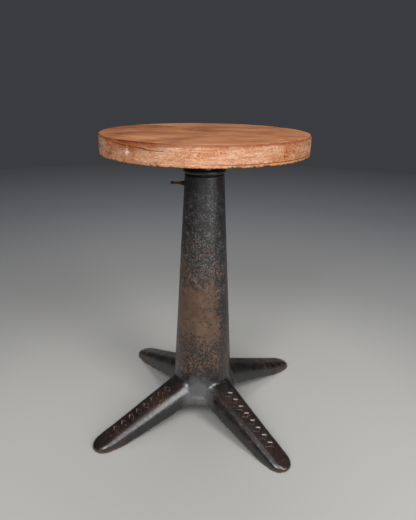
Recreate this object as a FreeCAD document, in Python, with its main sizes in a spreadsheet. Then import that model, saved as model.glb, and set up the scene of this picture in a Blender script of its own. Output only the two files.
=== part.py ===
"""Adjustable swivel stool: cast iron pedestal, sliding post with a thumb screw, round laminated seat.

Frame: +Z up, origin on the floor under the middle of the column. The four legs point between
the X and Y axes, and the thumb screw points along -X. Millimetres. The seat is at its lowest.
"""

import FreeCAD, Part
import math
import os
import Sketcher

# Driving dimensions: alias, value in millimetres (or degrees, or a count), what it is.
DRIVING = [
    ("seat_height", 512.0, "floor to seat top, seat at its lowest"),
    ("seat_radius", 167.5, "seat board"),
    ("seat_thickness", 31.0, "all three glued layers"),
    ("top_layer", 8.0, "thickness of the top layer"),
    ("bottom_layer", 3.0, "thickness of the bottom layer"),
    ("seat_edge_round", 3.0, "rounding of the top edge"),
    ("recess_radius", 24.0, "hole in the lower layers that clears the nut"),
    ("head_height", 455.0, "floor to the top of the column"),
    ("bead_radius", 35.3, "bead round the top of the column"),
    ("bead_height", 7.4, "bead round the top of the column"),
    ("bead_round", 2.6, "rounding of the bead's edges"),
    ("groove_height", 1.6, "groove under the bead"),
    ("groove_depth", 0.9, "groove under the bead"),
    ("neck_radius", 32.4, "column just under the groove"),
    ("foot_radius", 52.4, "column where it meets the hub"),
    ("foot_height", 78.0, "where the column meets the hub"),
    ("column_wall", 7.0, "iron thickness of the column"),
    ("hub_radius", 61.5, "skirt between the legs"),
    ("hub_lip", 45.0, "top of the skirt"),
    ("hub_cove", 16.0, "rounding where the column runs out into the skirt"),
    ("arch_height", 30.0, "underside of the hub above the floor"),
    ("leg_reach", 228.0, "column axis to the tip of a toe"),
    ("toe_radius", 20.8, "toe seen from above"),
    ("leg_root", 38.0, "half width of a leg carried on to the column axis"),
    ("leg_root_height", 70.0, "top of a leg at the column"),
    ("toe_height", 15.0, "top of a leg over the middle of the toe"),
    ("toe_tip_height", 8.0, "top of a leg at the tip of the toe"),
    ("pad_start", 186.0, "where the flat foot pad starts"),
    ("leg_draft", 6.5, "slope of the leg walls, degrees"),
    ("leg_edge_round", 8.0, "rounding along the top edges of a leg"),
    ("leg_wall", 6.0, "iron thickness of a leg"),
    ("leg_count", 4, "legs"),
    ("bush_radius", 21.0, "outside of the neck bush"),
    ("bush_length", 62.0, "neck bush"),
    ("post_radius", 16.0, "post"),
    ("running_gap", 0.06, "radial gap of every piece that turns or slides in another"),
    ("travel", 125.0, "height adjustment"),
    ("flat_depth", 1.0, "flat along the post for the clamp pad"),
    ("flat_height", 150.0, "flat along the post for the clamp pad"),
    ("collar_radius", 20.4, "stop collar on the lower end of the post"),
    ("collar_height", 14.0, "stop collar"),
    ("cross_pin_radius", 2.5, "cross pins of both collars"),
    ("rest_radius", 23.0, "rest collar that lands on the column head"),
    ("rest_height", 7.0, "rest collar"),
    ("spigot_radius", 11.0, "pivot that the seat turns on"),
    ("stud_radius", 7.9, "5/8 inch thread above the pivot"),
    ("stud_spare", 1.2, "stud that stands above the nut"),
    ("washer_radius", 21.0, "thrust washer"),
    ("washer_thickness", 2.5, "both washers"),
    ("end_float", 0.3, "play of the swivel along its axis"),
    ("plate_radius", 72.0, "flange of the seat plate"),
    ("plate_thickness", 6.0, "flange of the seat plate"),
    ("plate_hub_radius", 21.5, "hub of the seat plate"),
    ("plate_boss_radius", 19.0, "boss above the flange"),
    ("plate_boss_height", 6.0, "boss above the flange"),
    ("swivel_bush_radius", 14.0, "outside of the swivel bush"),
    ("screw_circle", 56.0, "radius that the wood screws stand on"),
    ("screw_count", 6, "wood screws"),
    ("screw_radius", 2.75, "No 12 wood screw"),
    ("screw_length", 22.0, "wood screw above its countersunk head"),
    ("screw_head_radius", 5.3, "wood screw head"),
    ("screw_head_height", 3.2, "wood screw head"),
    ("screw_slot_width", 1.2, "driver slot"),
    ("screw_slot_depth", 1.4, "driver slot"),
    ("nut_flats", 25.7, "castle nut, across flats"),
    ("nut_height", 12.0, "castle nut"),
    ("nut_slot_width", 3.6, "slots in the castle nut"),
    ("nut_slot_depth", 5.0, "slots in the castle nut"),
    ("split_pin_radius", 1.5, "split pin"),
    ("split_pin_length", 32.0, "split pin"),
    ("clamp_height", 428.0, "axis of the clamp screw above the floor"),
    ("clamp_radius", 3.97, "5/16 inch thread"),
    ("clamp_reach", 57.0, "column axis to the outer end of the clamp screw"),
    ("thread_end", 38.0, "column axis to the end of the thread"),
    ("shank_root", 3.2, "radius of the shank beside the thread"),
    ("shank_tip", 2.2, "radius of the shank at the thumb piece"),
    ("thumb_length", 9.0, "flattened end for finger and thumb"),
    ("thumb_width", 8.4, "flattened end for finger and thumb"),
    ("thumb_thickness", 3.4, "flattened end for finger and thumb"),
    ("pad_thickness", 3.0, "clamp pad"),
    ("tip_radius", 2.0, "nose of the clamp screw inside its pad"),
    ("tip_length", 1.6, "nose of the clamp screw inside its pad"),
]

doc = FreeCAD.newDocument("stool")
sheet = doc.addObject("Spreadsheet::Sheet", "sizes")
for row, (alias, value, note) in enumerate(DRIVING, 1):
    sheet.set(f"A{row}", note)
    sheet.set(f"B{row}", str(value))
    sheet.setAlias(f"B{row}", alias)
doc.recompute()

# Heights and radii that follow from the driving ones, as expressions on the sheet.
SEAT_UNDERSIDE = "(sizes.seat_height - sizes.seat_thickness)"
BOTTOM_LAYER_TOP = f"({SEAT_UNDERSIDE} + sizes.bottom_layer)"
TOP_LAYER_UNDERSIDE = "(sizes.seat_height - sizes.top_layer)"
REST_TOP = "(sizes.head_height + sizes.rest_height)"
HUB_UNDERSIDE = f"({REST_TOP} + sizes.washer_thickness)"
PLATE_UNDERSIDE = f"({SEAT_UNDERSIDE} - sizes.plate_thickness)"
PLATE_BOSS_TOP = f"({SEAT_UNDERSIDE} + sizes.plate_boss_height)"
SPIGOT_TOP = f"({PLATE_BOSS_TOP} + sizes.end_float)"
NUT_UNDERSIDE = f"({SPIGOT_TOP} + sizes.washer_thickness)"
NUT_TOP = f"({NUT_UNDERSIDE} + sizes.nut_height)"
SPLIT_PIN_HEIGHT = f"({NUT_TOP} - sizes.nut_slot_depth / 2)"
BUSH_UNDERSIDE = "(sizes.head_height - sizes.bush_length)"
COLLAR_TOP = f"({BUSH_UNDERSIDE} - sizes.travel)"
POST_END = f"({COLLAR_TOP} - sizes.collar_height)"
COLLAR_MIDDLE = f"({POST_END} + sizes.collar_height / 2)"
BEAD_UNDERSIDE = "(sizes.head_height - sizes.bead_height)"
GROOVE_UNDERSIDE = f"({BEAD_UNDERSIDE} - sizes.groove_height)"
FLAT_DISTANCE = "(sizes.post_radius - sizes.flat_depth)"
PAD_BACK = f"({FLAT_DISTANCE} + sizes.pad_thickness)"
CLAMP_HOLE = "(sizes.clamp_radius + sizes.running_gap)"


def column_radius(height):
    """Radius of the column's straight cone at a height, as an expression."""
    spread = "(sizes.foot_radius - sizes.neck_radius)"
    rise = f"({GROOVE_UNDERSIDE} - sizes.foot_height)"
    return f"(sizes.neck_radius + {spread} * ({GROOVE_UNDERSIDE} - {height}) / {rise})"


def number(expression):
    """What an expression on the sheet comes to now."""
    found = sheet.evalExpression(expression)
    return float(getattr(found, "Value", found))


def body(name):
    made = doc.addObject("PartDesign::Body", name)
    made.Label = name
    return made


def sketch_on(owner, plane, name, offset=None):
    """A sketch on one of the body's own origin planes; offset is an expression along its normal."""
    made = owner.newObject("Sketcher::SketchObject", name)
    origin_plane = next(f for f in owner.Origin.OriginFeatures if f.Role == plane)
    made.AttachmentSupport = (origin_plane, [""])
    made.MapMode = "FlatFace"
    if offset:
        made.setExpression("AttachmentOffset.Base.z", offset)
    return made


def pin_point(sketch, line, end, across, up):
    """Ties one end of a line to two expressions."""
    for kind, expression in (("DistanceX", across), ("DistanceY", up)):
        index = sketch.addConstraint(
            Sketcher.Constraint(kind, line, end, number(expression))
        )
        sketch.setExpression(f"Constraints[{index}]", expression)


def outline(sketch, corners):
    """A closed outline of straight lines; each corner is a pair of expressions."""
    places = [
        FreeCAD.Vector(number(across), number(up), 0) for across, up in corners
    ]
    lines = []
    for start, end in zip(places, places[1:] + places[:1]):
        lines.append(sketch.addGeometry(Part.LineSegment(start, end), False))
    for line, following in zip(lines, lines[1:] + lines[:1]):
        sketch.addConstraint(Sketcher.Constraint("Coincident", line, 2, following, 1))
    for line, (across, up) in zip(lines, corners):
        pin_point(sketch, line, 1, across, up)
    return sketch


def circle(sketch, radius, across="0", up="0"):
    """A circle whose centre and radius are expressions."""
    centre = FreeCAD.Vector(number(across), number(up), 0)
    normal = FreeCAD.Vector(0, 0, 1)
    index = sketch.addGeometry(Part.Circle(centre, normal, number(radius)), False)
    tie = sketch.addConstraint(Sketcher.Constraint("Radius", index, number(radius)))
    sketch.setExpression(f"Constraints[{tie}]", radius)
    pin_point(sketch, index, 3, across, up)
    return sketch


def turned(name, corners):
    """A body turned about Z from a half section of (radius, height) corners."""
    made = body(name)
    profile = outline(sketch_on(made, "XZ_Plane", f"{name}_section"), corners)
    doc.recompute()
    turn = made.newObject("PartDesign::Revolution", f"{name}_turn")
    turn.Profile = profile
    turn.ReferenceAxis = (profile, ["V_Axis"])
    turn.Angle = 360
    doc.recompute()
    return made


def ring(name, inner, outer, low, high):
    """A plain ring about Z."""
    return turned(name, [(inner, low), (outer, low), (outer, high), (inner, high)])


def round_edges(owner, name, radius, wanted):
    """Fillets the edges of the body's tip that wanted(edge) picks."""
    tip = owner.Tip
    chosen = [f"Edge{i}" for i, edge in enumerate(tip.Shape.Edges, 1) if wanted(edge)]
    made = owner.newObject("PartDesign::Fillet", name)
    made.Base = (tip, chosen)
    made.setExpression("Radius", radius)
    doc.recompute()
    return made


def bevel_edges(owner, name, size, wanted):
    """Chamfers the edges of the body's tip that wanted(edge) picks."""
    tip = owner.Tip
    chosen = [f"Edge{i}" for i, edge in enumerate(tip.Shape.Edges, 1) if wanted(edge)]
    made = owner.newObject("PartDesign::Chamfer", name)
    made.Base = (tip, chosen)
    made.Size = size
    doc.recompute()
    return made


def is_ring_at(edge, radius, height, tolerance=0.01):
    """Whether an edge is a circle about Z of that radius at that height."""
    curve = edge.Curve
    return (
        isinstance(curve, Part.Circle)
        and abs(curve.Radius - radius) < tolerance
        and abs(curve.Center.z - height) < tolerance
        and math.hypot(curve.Center.x, curve.Center.y) < tolerance
    )


def pocket(owner, name, profile, length=None, both_ways=False):
    """Cuts a sketch through the body, all the way unless length is given."""
    before = owner.Shape.Volume
    made = owner.newObject("PartDesign::Pocket", name)
    made.Profile = profile
    made.Midplane = both_ways
    if length:
        made.setExpression("Length", length)
    else:
        made.Type = "ThroughAll"
    doc.recompute()
    if owner.Shape.Volume > before - 1e-3:
        made.Reversed = True
        doc.recompute()
    if owner.Shape.Volume > before - 1e-3:
        raise RuntimeError(f"{name} cuts nothing")
    return made


def cylinder(name, radius, length):
    made = doc.addObject("Part::Cylinder", name)
    made.setExpression("Radius", radius)
    made.setExpression("Height", length)
    return made


def along_minus_x(thing, start, height="sizes.clamp_height"):
    """Lays a Part primitive's own Z along -X, starting that far from the column axis."""
    thing.Placement.Rotation = FreeCAD.Rotation(FreeCAD.Vector(0, 1, 0), -90)
    thing.setExpression("Placement.Base.x", f"-({start})")
    thing.setExpression("Placement.Base.z", height)
    return thing


def joined(name, shapes):
    made = doc.addObject("Part::MultiFuse", name)
    made.Shapes = shapes
    return made


def cut(name, base, tool):
    made = doc.addObject("Part::Cut", name)
    made.Base = base
    made.Tool = tool
    made.Label = name
    return made


# --- pedestal casting: hollow column and four arched legs in one piece of iron --------------


def leg_plan(owner, name, inset, toe_centre):
    """A leg seen from above: straight sides that narrow to a round toe, drawn along +X."""
    sketch = sketch_on(owner, "XY_Plane", name)
    root = f"(sizes.leg_root - {inset})"
    nose = f"(sizes.toe_radius - {inset})"
    half, radius, reach = number(root), number(nose), number(toe_centre)
    vector = FreeCAD.Vector
    toe_circle = Part.Circle(vector(reach, 0, 0), vector(0, 0, 1), radius)
    left = sketch.addGeometry(Part.LineSegment(vector(0, half, 0), vector(reach, radius, 0)))
    right = sketch.addGeometry(Part.LineSegment(vector(reach, -radius, 0), vector(0, -half, 0)))
    toe = sketch.addGeometry(Part.ArcOfCircle(toe_circle, -math.pi / 2, math.pi / 2))
    back = sketch.addGeometry(Part.LineSegment(vector(0, -half, 0), vector(0, half, 0)))
    sketch.addConstraint(Sketcher.Constraint("Tangent", left, 2, toe, 2))
    sketch.addConstraint(Sketcher.Constraint("Tangent", toe, 1, right, 1))
    sketch.addConstraint(Sketcher.Constraint("Coincident", right, 2, back, 1))
    sketch.addConstraint(Sketcher.Constraint("Coincident", back, 2, left, 1))
    pin_point(sketch, left, 1, "0", root)
    pin_point(sketch, back, 1, "0", f"-{root}")
    pin_point(sketch, toe, 3, toe_centre, "0")
    tie = sketch.addConstraint(Sketcher.Constraint("Radius", toe, radius))
    sketch.setExpression(f"Constraints[{tie}]", nose)
    return sketch


def leg_blank(name, inset, roof, toe_centre):
    """A leg's plan raised with sloping walls, then trimmed to a roof line.

    roof lists (distance, height) corners from the column axis outwards.
    """
    made = body(name)
    plan = leg_plan(made, f"{name}_plan", inset, toe_centre)
    doc.recompute()
    pad = made.newObject("PartDesign::Pad", f"{name}_pad")
    pad.Profile = plan
    pad.setExpression("Length", "sizes.leg_root_height + 20")
    pad.setExpression("TaperAngle", "-sizes.leg_draft")
    doc.recompute()
    sky = "(sizes.leg_root_height + 40)"
    above = roof + [(roof[-1][0], sky), (roof[0][0], sky)]
    trim = outline(sketch_on(made, "XZ_Plane", f"{name}_roof"), above)
    doc.recompute()
    pocket(made, f"{name}_roof_cut", trim, both_ways=True)
    return made


def all_round(owner):
    """Repeats a finished leg about the column, the first one between +X and +Y."""
    made = owner.newObject("PartDesign::PolarPattern", f"{owner.Name}_all_round")
    made.TransformMode = "Whole shape"
    axis = next(f for f in owner.Origin.OriginFeatures if f.Role == "Z_Axis")
    made.Axis = (axis, [""])
    made.Angle = 360
    made.setExpression("Occurrences", "sizes.leg_count")
    owner.Tip = made
    owner.setExpression("Placement.Rotation.Angle", "180 / sizes.leg_count")
    owner.Placement.Rotation.Axis = FreeCAD.Vector(0, 0, 1)
    doc.recompute()
    return owner


legs = leg_blank(
    "legs",
    "0",
    [
        ("-1", "sizes.leg_root_height"),
        ("sizes.foot_radius", "sizes.leg_root_height"),
        ("sizes.leg_reach - sizes.toe_radius", "sizes.toe_height"),
        ("sizes.leg_reach + 1", "sizes.toe_tip_height"),
    ],
    "(sizes.leg_reach - sizes.toe_radius)",
)
arch = outline(
    sketch_on(legs, "XZ_Plane", "legs_arch"),
    [
        ("-1", "-1"),
        ("sizes.pad_start", "-1"),
        ("sizes.pad_start", "0"),
        ("sizes.hub_radius", "sizes.arch_height"),
        ("-1", "sizes.arch_height"),
    ],
)
doc.recompute()
pocket(legs, "legs_arch_cut", arch, both_ways=True)


def on_leg_roof_edge(edge):
    """The edges where the roof of a leg meets its side walls and its nose."""
    box = edge.BoundBox
    beside = min(abs(box.YMin), abs(box.YMax)) > number("sizes.toe_radius") / 2
    long_side = beside and box.XMin > number("sizes.foot_radius") - 1 and box.XLength > 50
    nose = abs(box.YMin + box.YMax) < 1 and box.XMax < number("sizes.leg_reach") - 0.2
    nose = nose and box.XMin > number("sizes.pad_start") + 10 and box.XLength > 10
    return (long_side and box.ZMax > 60) or nose


round_edges(legs, "legs_round", "sizes.leg_edge_round", on_leg_roof_edge)
all_round(legs)

leg_hollows = leg_blank(
    "leg_hollows",
    "sizes.leg_wall",
    [
        ("-1", "(sizes.leg_root_height - sizes.leg_wall)"),
        ("sizes.foot_radius", "(sizes.leg_root_height - sizes.leg_wall)"),
        ("sizes.leg_reach - sizes.toe_radius", "(sizes.toe_height - sizes.leg_wall)"),
        ("sizes.leg_reach + 1", "(sizes.toe_tip_height - sizes.leg_wall)"),
    ],
    "(sizes.pad_start - sizes.toe_radius + sizes.leg_wall)",
)
all_round(leg_hollows)

column = turned(
    "column",
    [
        ("0", "sizes.arch_height"),
        ("sizes.hub_radius", "sizes.arch_height"),
        ("sizes.hub_radius - 1", "sizes.hub_lip"),
        ("sizes.foot_radius + 2", "sizes.foot_height - 14"),
        ("sizes.foot_radius", "sizes.foot_height"),
        ("sizes.neck_radius", GROOVE_UNDERSIDE),
        ("sizes.neck_radius - sizes.groove_depth", GROOVE_UNDERSIDE),
        ("sizes.neck_radius - sizes.groove_depth", BEAD_UNDERSIDE),
        ("sizes.bead_radius", BEAD_UNDERSIDE),
        ("sizes.bead_radius", "sizes.head_height"),
        ("0", "sizes.head_height"),
    ],
)


def on_bead(edge):
    bead = number("sizes.bead_radius")
    heights = (number(BEAD_UNDERSIDE), number("sizes.head_height"))
    return any(is_ring_at(edge, bead, height) for height in heights)


def in_hub_cove(edge):
    corner = number("sizes.foot_height") - 14
    return is_ring_at(edge, number("sizes.foot_radius") + 2, corner)


round_edges(column, "bead_edges", "sizes.bead_round", on_bead)
round_edges(column, "hub_cove", "sizes.hub_cove", in_hub_cove)

column_hollow = turned(
    "column_hollow",
    [
        ("0", "-1"),
        ("sizes.hub_radius - sizes.leg_wall", "-1"),
        ("sizes.hub_radius - sizes.leg_wall", "sizes.hub_lip - sizes.leg_wall"),
        ("sizes.foot_radius - sizes.column_wall", "sizes.foot_height - 14"),
        (f"{column_radius(BUSH_UNDERSIDE)} - sizes.column_wall", BUSH_UNDERSIDE),
        ("sizes.bush_radius", BUSH_UNDERSIDE),
        ("sizes.bush_radius", "sizes.head_height + 1"),
        ("0", "sizes.head_height + 1"),
    ],
)


def clamp_bore(name):
    """A cylinder along -X that drills the hole for the clamp screw."""
    return along_minus_x(cylinder(name, CLAMP_HOLE, "sizes.thread_end"), "2")


iron = joined("pedestal_iron", [column, legs])
voids = joined("pedestal_voids", [column_hollow, leg_hollows, clamp_bore("neck_bore")])
cut("pedestal", iron, voids)

bush_blank = ring(
    "neck_bush_blank",
    "sizes.post_radius + sizes.running_gap",
    "sizes.bush_radius",
    BUSH_UNDERSIDE,
    "sizes.head_height",
)
cut("neck_bush", bush_blank, clamp_bore("bush_bore"))

# --- clamp: the screw, and the brass pad that turns freely on its nose ----------------------

pad_blank = along_minus_x(
    cylinder("clamp_pad_blank", "sizes.clamp_radius - 0.1", "sizes.pad_thickness"),
    FLAT_DISTANCE,
)
pad_cup = along_minus_x(
    cylinder("clamp_pad_cup", "sizes.tip_radius + sizes.running_gap", "sizes.pad_thickness"),
    f"({PAD_BACK} - sizes.tip_length - 0.1)",
)
cut("clamp_pad", pad_blank, pad_cup)


def tapered(name, root, tip, length):
    made = doc.addObject("Part::Cone", name)
    made.setExpression("Radius1", root)
    made.setExpression("Radius2", tip)
    made.setExpression("Height", length)
    return made


nose = along_minus_x(
    cylinder("clamp_nose", "sizes.tip_radius", "sizes.tip_length + 1"),
    f"({PAD_BACK} - sizes.tip_length)",
)
thread = along_minus_x(
    cylinder("clamp_thread", "sizes.clamp_radius", f"sizes.thread_end - {PAD_BACK} - 0.8"),
    PAD_BACK,
)
thread_run_out = along_minus_x(
    tapered("clamp_run_out", "sizes.clamp_radius", "sizes.shank_root", "0.8"),
    "sizes.thread_end - 0.8",
)
shank = along_minus_x(
    tapered(
        "clamp_shank",
        "sizes.shank_root",
        "sizes.shank_tip",
        "sizes.clamp_reach - sizes.thread_end - sizes.thumb_length + 1",
    ),
    "sizes.thread_end",
)
thumb_blank = doc.addObject("Part::Box", "thumb_blank")
thumb_blank.setExpression("Length", "sizes.thumb_length")
thumb_blank.setExpression("Width", "sizes.thumb_width")
thumb_blank.setExpression("Height", "sizes.thumb_thickness")
thumb_blank.setExpression("Placement.Base.x", "-sizes.clamp_reach")
thumb_blank.setExpression("Placement.Base.y", "-sizes.thumb_width / 2")
thumb_blank.setExpression(
    "Placement.Base.z", "sizes.clamp_height - sizes.thumb_thickness / 2"
)
doc.recompute()
thumb = doc.addObject("Part::Fillet", "thumb_piece")
thumb.Base = thumb_blank
upright = [
    (i, 3.0, 3.0)
    for i, edge in enumerate(thumb_blank.Shape.Edges, 1)
    if edge.BoundBox.ZLength > number("sizes.thumb_thickness") / 2
]
thumb.Edges = upright
doc.recompute()
screw = joined("clamp_screw", [nose, thread, thread_run_out, shank, thumb])
screw.Label = "clamp_screw"

# --- post: turned steel bar with a flat for the clamp pad, pivot and threaded end -----------

post_bar = turned(
    "post_bar",
    [
        ("0", POST_END),
        ("sizes.post_radius", POST_END),
        ("sizes.post_radius", REST_TOP),
        ("sizes.spigot_radius", REST_TOP),
        ("sizes.spigot_radius", SPIGOT_TOP),
        ("sizes.stud_radius", SPIGOT_TOP),
        ("sizes.stud_radius", f"({NUT_TOP} + sizes.stud_spare)"),
        ("0", f"({NUT_TOP} + sizes.stud_spare)"),
    ],
)


def on_post_ends(edge):
    low = is_ring_at(edge, number("sizes.post_radius"), number(POST_END))
    return low or is_ring_at(
        edge, number("sizes.stud_radius"), number(f"{NUT_TOP} + sizes.stud_spare")
    )


bevel_edges(post_bar, "post_ends", 0.8, on_post_ends)
flat_sketch = outline(
    sketch_on(post_bar, "XZ_Plane", "post_flat_outline"),
    [
        ("-sizes.post_radius - 2", "sizes.clamp_height + 12 - sizes.flat_height"),
        (f"-{FLAT_DISTANCE}", "sizes.clamp_height + 12 - sizes.flat_height"),
        (f"-{FLAT_DISTANCE}", "sizes.clamp_height + 12"),
        ("-sizes.post_radius - 2", "sizes.clamp_height + 12"),
    ],
)
doc.recompute()
pocket(post_bar, "post_flat", flat_sketch, both_ways=True)


def cross_pin(name, height, half_length, radius="sizes.cross_pin_radius"):
    """A plain pin through the column axis along Y."""
    made = cylinder(name, radius, f"2 * ({half_length})")
    made.Placement.Rotation = FreeCAD.Rotation(FreeCAD.Vector(1, 0, 0), 90)
    made.setExpression("Placement.Base.y", half_length)
    made.setExpression("Placement.Base.z", height)
    made.Label = name
    return made


REST_MIDDLE = "(sizes.head_height + sizes.rest_height / 2)"
stop_pin_hole = cross_pin("stop_pin_hole", COLLAR_MIDDLE, "sizes.collar_radius + 2")
rest_pin_hole = cross_pin("rest_pin_hole", REST_MIDDLE, "sizes.rest_radius + 2")
split_pin_hole = cross_pin(
    "split_pin_hole",
    SPLIT_PIN_HEIGHT,
    "sizes.nut_flats",
    "sizes.split_pin_radius + 0.2",
)
post_holes = joined("post_holes", [stop_pin_hole, rest_pin_hole, split_pin_hole])
cut("post", post_bar, post_holes)

stop_blank = ring(
    "stop_collar_blank", "sizes.post_radius", "sizes.collar_radius", POST_END, COLLAR_TOP
)
cut("stop_collar", stop_blank, stop_pin_hole)
cross_pin("stop_collar_pin", COLLAR_MIDDLE, "sizes.collar_radius - 0.4")

rest_blank = ring(
    "rest_collar_blank",
    "sizes.post_radius",
    "sizes.rest_radius",
    "sizes.head_height",
    REST_TOP,
)


def on_rest_rim(edge):
    return is_ring_at(edge, number("sizes.rest_radius"), number(REST_TOP))


bevel_edges(rest_blank, "rest_rim", 0.8, on_rest_rim)
cut("rest_collar", rest_blank, rest_pin_hole)
cross_pin("rest_collar_pin", REST_MIDDLE, "sizes.rest_radius - 0.4")

ring(
    "thrust_washer",
    "sizes.spigot_radius + 0.2",
    "sizes.washer_radius",
    REST_TOP,
    HUB_UNDERSIDE,
)
ring(
    "top_washer",
    "sizes.stud_radius + 0.2",
    "sizes.plate_boss_radius - 2",
    SPIGOT_TOP,
    NUT_UNDERSIDE,
)

nut_body = body("castle_nut_body")
nut_plan = sketch_on(nut_body, "XY_Plane", "nut_plan", NUT_UNDERSIDE)
CORNER = "(sizes.nut_flats / 2 / cos(30))"
hexagon = [
    (f"{CORNER} * cos({60 * i})", f"{CORNER} * sin({60 * i})") for i in range(6)
]
outline(nut_plan, hexagon)
circle(nut_plan, "sizes.stud_radius + 0.02")
doc.recompute()
nut_pad = nut_body.newObject("PartDesign::Pad", "nut_pad")
nut_pad.Profile = nut_plan
nut_pad.setExpression("Length", "sizes.nut_height")
doc.recompute()
nut_slot = outline(
    sketch_on(nut_body, "XZ_Plane", "nut_slot"),
    [
        ("-sizes.nut_slot_width / 2", f"({NUT_TOP} - sizes.nut_slot_depth)"),
        ("sizes.nut_slot_width / 2", f"({NUT_TOP} - sizes.nut_slot_depth)"),
        ("sizes.nut_slot_width / 2", f"({NUT_TOP} + 1)"),
        ("-sizes.nut_slot_width / 2", f"({NUT_TOP} + 1)"),
    ],
)
doc.recompute()
first_slot = pocket(nut_body, "nut_slot_cut", nut_slot, both_ways=True)
slots = nut_body.newObject("PartDesign::PolarPattern", "nut_slots")
slots.Originals = [first_slot]
slots.Axis = (
    next(f for f in nut_body.Origin.OriginFeatures if f.Role == "Z_Axis"),
    [""],
)
slots.Angle = 360
slots.Occurrences = 6
nut_body.Tip = slots
nut_body.Label = "castle_nut"
doc.recompute()

split_shank = cross_pin(
    "split_pin_shank", SPLIT_PIN_HEIGHT, "sizes.split_pin_length / 2", "sizes.split_pin_radius"
)
split_eye = doc.addObject("Part::Torus", "split_pin_eye")
split_eye.setExpression("Radius1", "sizes.split_pin_radius * 1.6")
split_eye.setExpression("Radius2", "sizes.split_pin_radius / 1.6")
split_eye.setExpression(
    "Placement.Base.y", "-sizes.split_pin_length / 2 - sizes.split_pin_radius"
)
split_eye.setExpression("Placement.Base.z", SPLIT_PIN_HEIGHT)
joined("split_pin", [split_shank, split_eye]).Label = "split_pin"

# --- seat plate: cast iron flange with a bushed hub, screwed under the board ----------------

plate = turned(
    "seat_plate_body",
    [
        ("sizes.swivel_bush_radius", HUB_UNDERSIDE),
        ("sizes.plate_hub_radius", HUB_UNDERSIDE),
        ("sizes.plate_hub_radius + 3", PLATE_UNDERSIDE),
        ("sizes.plate_radius", f"{PLATE_UNDERSIDE} + 1.5"),
        ("sizes.plate_radius", SEAT_UNDERSIDE),
        ("sizes.plate_boss_radius", SEAT_UNDERSIDE),
        ("sizes.plate_boss_radius", PLATE_BOSS_TOP),
        ("sizes.swivel_bush_radius", PLATE_BOSS_TOP),
    ],
)


def at_hub_root(edge):
    return is_ring_at(edge, number("sizes.plate_hub_radius") + 3, number(PLATE_UNDERSIDE))


round_edges(plate, "plate_cove", "6", at_hub_root)

HEAD_FACE = f"({PLATE_UNDERSIDE} + 1.1)"


def screw_ring(name, corners):
    """Copies of a turned (radius, height) section on the screw circle, as separate solids."""
    section = [
        FreeCAD.Vector(number(radius), 0, number(height)) for radius, height in corners
    ]
    one = Part.Face(Part.makePolygon(section + section[:1])).revolve(
        FreeCAD.Vector(0, 0, 0), FreeCAD.Vector(0, 0, 1), 360
    )
    count = int(number("sizes.screw_count"))
    copies = []
    for i in range(count):
        copy = one.copy()
        copy.translate(FreeCAD.Vector(number("sizes.screw_circle"), 0, 0))
        copy.rotate(FreeCAD.Vector(0, 0, 0), FreeCAD.Vector(0, 0, 1), 360 * (i + 0.5) / count)
        copies.append(copy)
    made = doc.addObject("Part::Feature", name)
    made.Shape = Part.makeCompound(copies)
    made.Label = name
    return made


HEAD_TOP = f"({HEAD_FACE} + sizes.screw_head_height)"
SCREW_END = f"({HEAD_TOP} + sizes.screw_length)"
SCREW_NECK = f"({SCREW_END} - 5)"
plate_holes = screw_ring(
    "plate_screw_holes",
    [
        ("0", f"{PLATE_UNDERSIDE} - 1"),
        ("sizes.screw_head_radius + 0.4", f"{PLATE_UNDERSIDE} - 1"),
        ("sizes.screw_head_radius + 0.4", HEAD_FACE),
        ("sizes.screw_radius + 0.3", HEAD_TOP),
        ("sizes.screw_radius + 0.3", f"{SEAT_UNDERSIDE} + 1"),
        ("0", f"{SEAT_UNDERSIDE} + 1"),
    ],
)
cut("seat_plate", plate, plate_holes)
ring(
    "swivel_bush",
    "sizes.spigot_radius + sizes.running_gap",
    "sizes.swivel_bush_radius",
    HUB_UNDERSIDE,
    PLATE_BOSS_TOP,
)

screw_blanks = screw_ring(
    "screw_blanks",
    [
        ("0", HEAD_FACE),
        ("sizes.screw_head_radius", HEAD_FACE),
        ("sizes.screw_radius", HEAD_TOP),
        ("sizes.screw_radius", SCREW_NECK),
        ("0.4", SCREW_END),
        ("0", SCREW_END),
    ],
)
driver_slots = []
for i in range(int(number("sizes.screw_count"))):
    width, depth = number("sizes.screw_slot_width"), number("sizes.screw_slot_depth")
    slot = Part.makeBox(12, width, depth + 1)
    slot.translate(
        FreeCAD.Vector(number("sizes.screw_circle") - 6, -width / 2, number(HEAD_FACE) - 1)
    )
    turn = 360 * (i + 0.5) / number("sizes.screw_count")
    slot.rotate(FreeCAD.Vector(0, 0, 0), FreeCAD.Vector(0, 0, 1), turn)
    driver_slots.append(slot)
slot_tools = doc.addObject("Part::Feature", "driver_slots")
slot_tools.Shape = Part.makeCompound(driver_slots)
cut("seat_screws", screw_blanks, slot_tools)

# --- seat board: three glued layers, the lower two hollowed over the nut --------------------

pilot_holes = screw_ring(
    "pilot_holes",
    [
        ("0", f"{SEAT_UNDERSIDE} - 1"),
        ("sizes.screw_radius + 0.02", f"{SEAT_UNDERSIDE} - 1"),
        ("sizes.screw_radius + 0.02", SCREW_NECK),
        ("0.5", f"{SCREW_END} + 0.1"),
        ("0", f"{SCREW_END} + 0.1"),
    ],
)


def seat_layer(name, inner, low, high):
    if inner:
        return ring(name, inner, "sizes.seat_radius", low, high)
    return turned(
        name,
        [("0", low), ("sizes.seat_radius", low), ("sizes.seat_radius", high), ("0", high)],
    )


lower = seat_layer("seat_lower_blank", "sizes.recess_radius", SEAT_UNDERSIDE, BOTTOM_LAYER_TOP)
middle = seat_layer(
    "seat_middle_blank", "sizes.recess_radius", BOTTOM_LAYER_TOP, TOP_LAYER_UNDERSIDE
)
upper = seat_layer("seat_top", None, TOP_LAYER_UNDERSIDE, "sizes.seat_height")


def on_seat_rim(edge):
    return is_ring_at(edge, number("sizes.seat_radius"), number("sizes.seat_height"))


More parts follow.
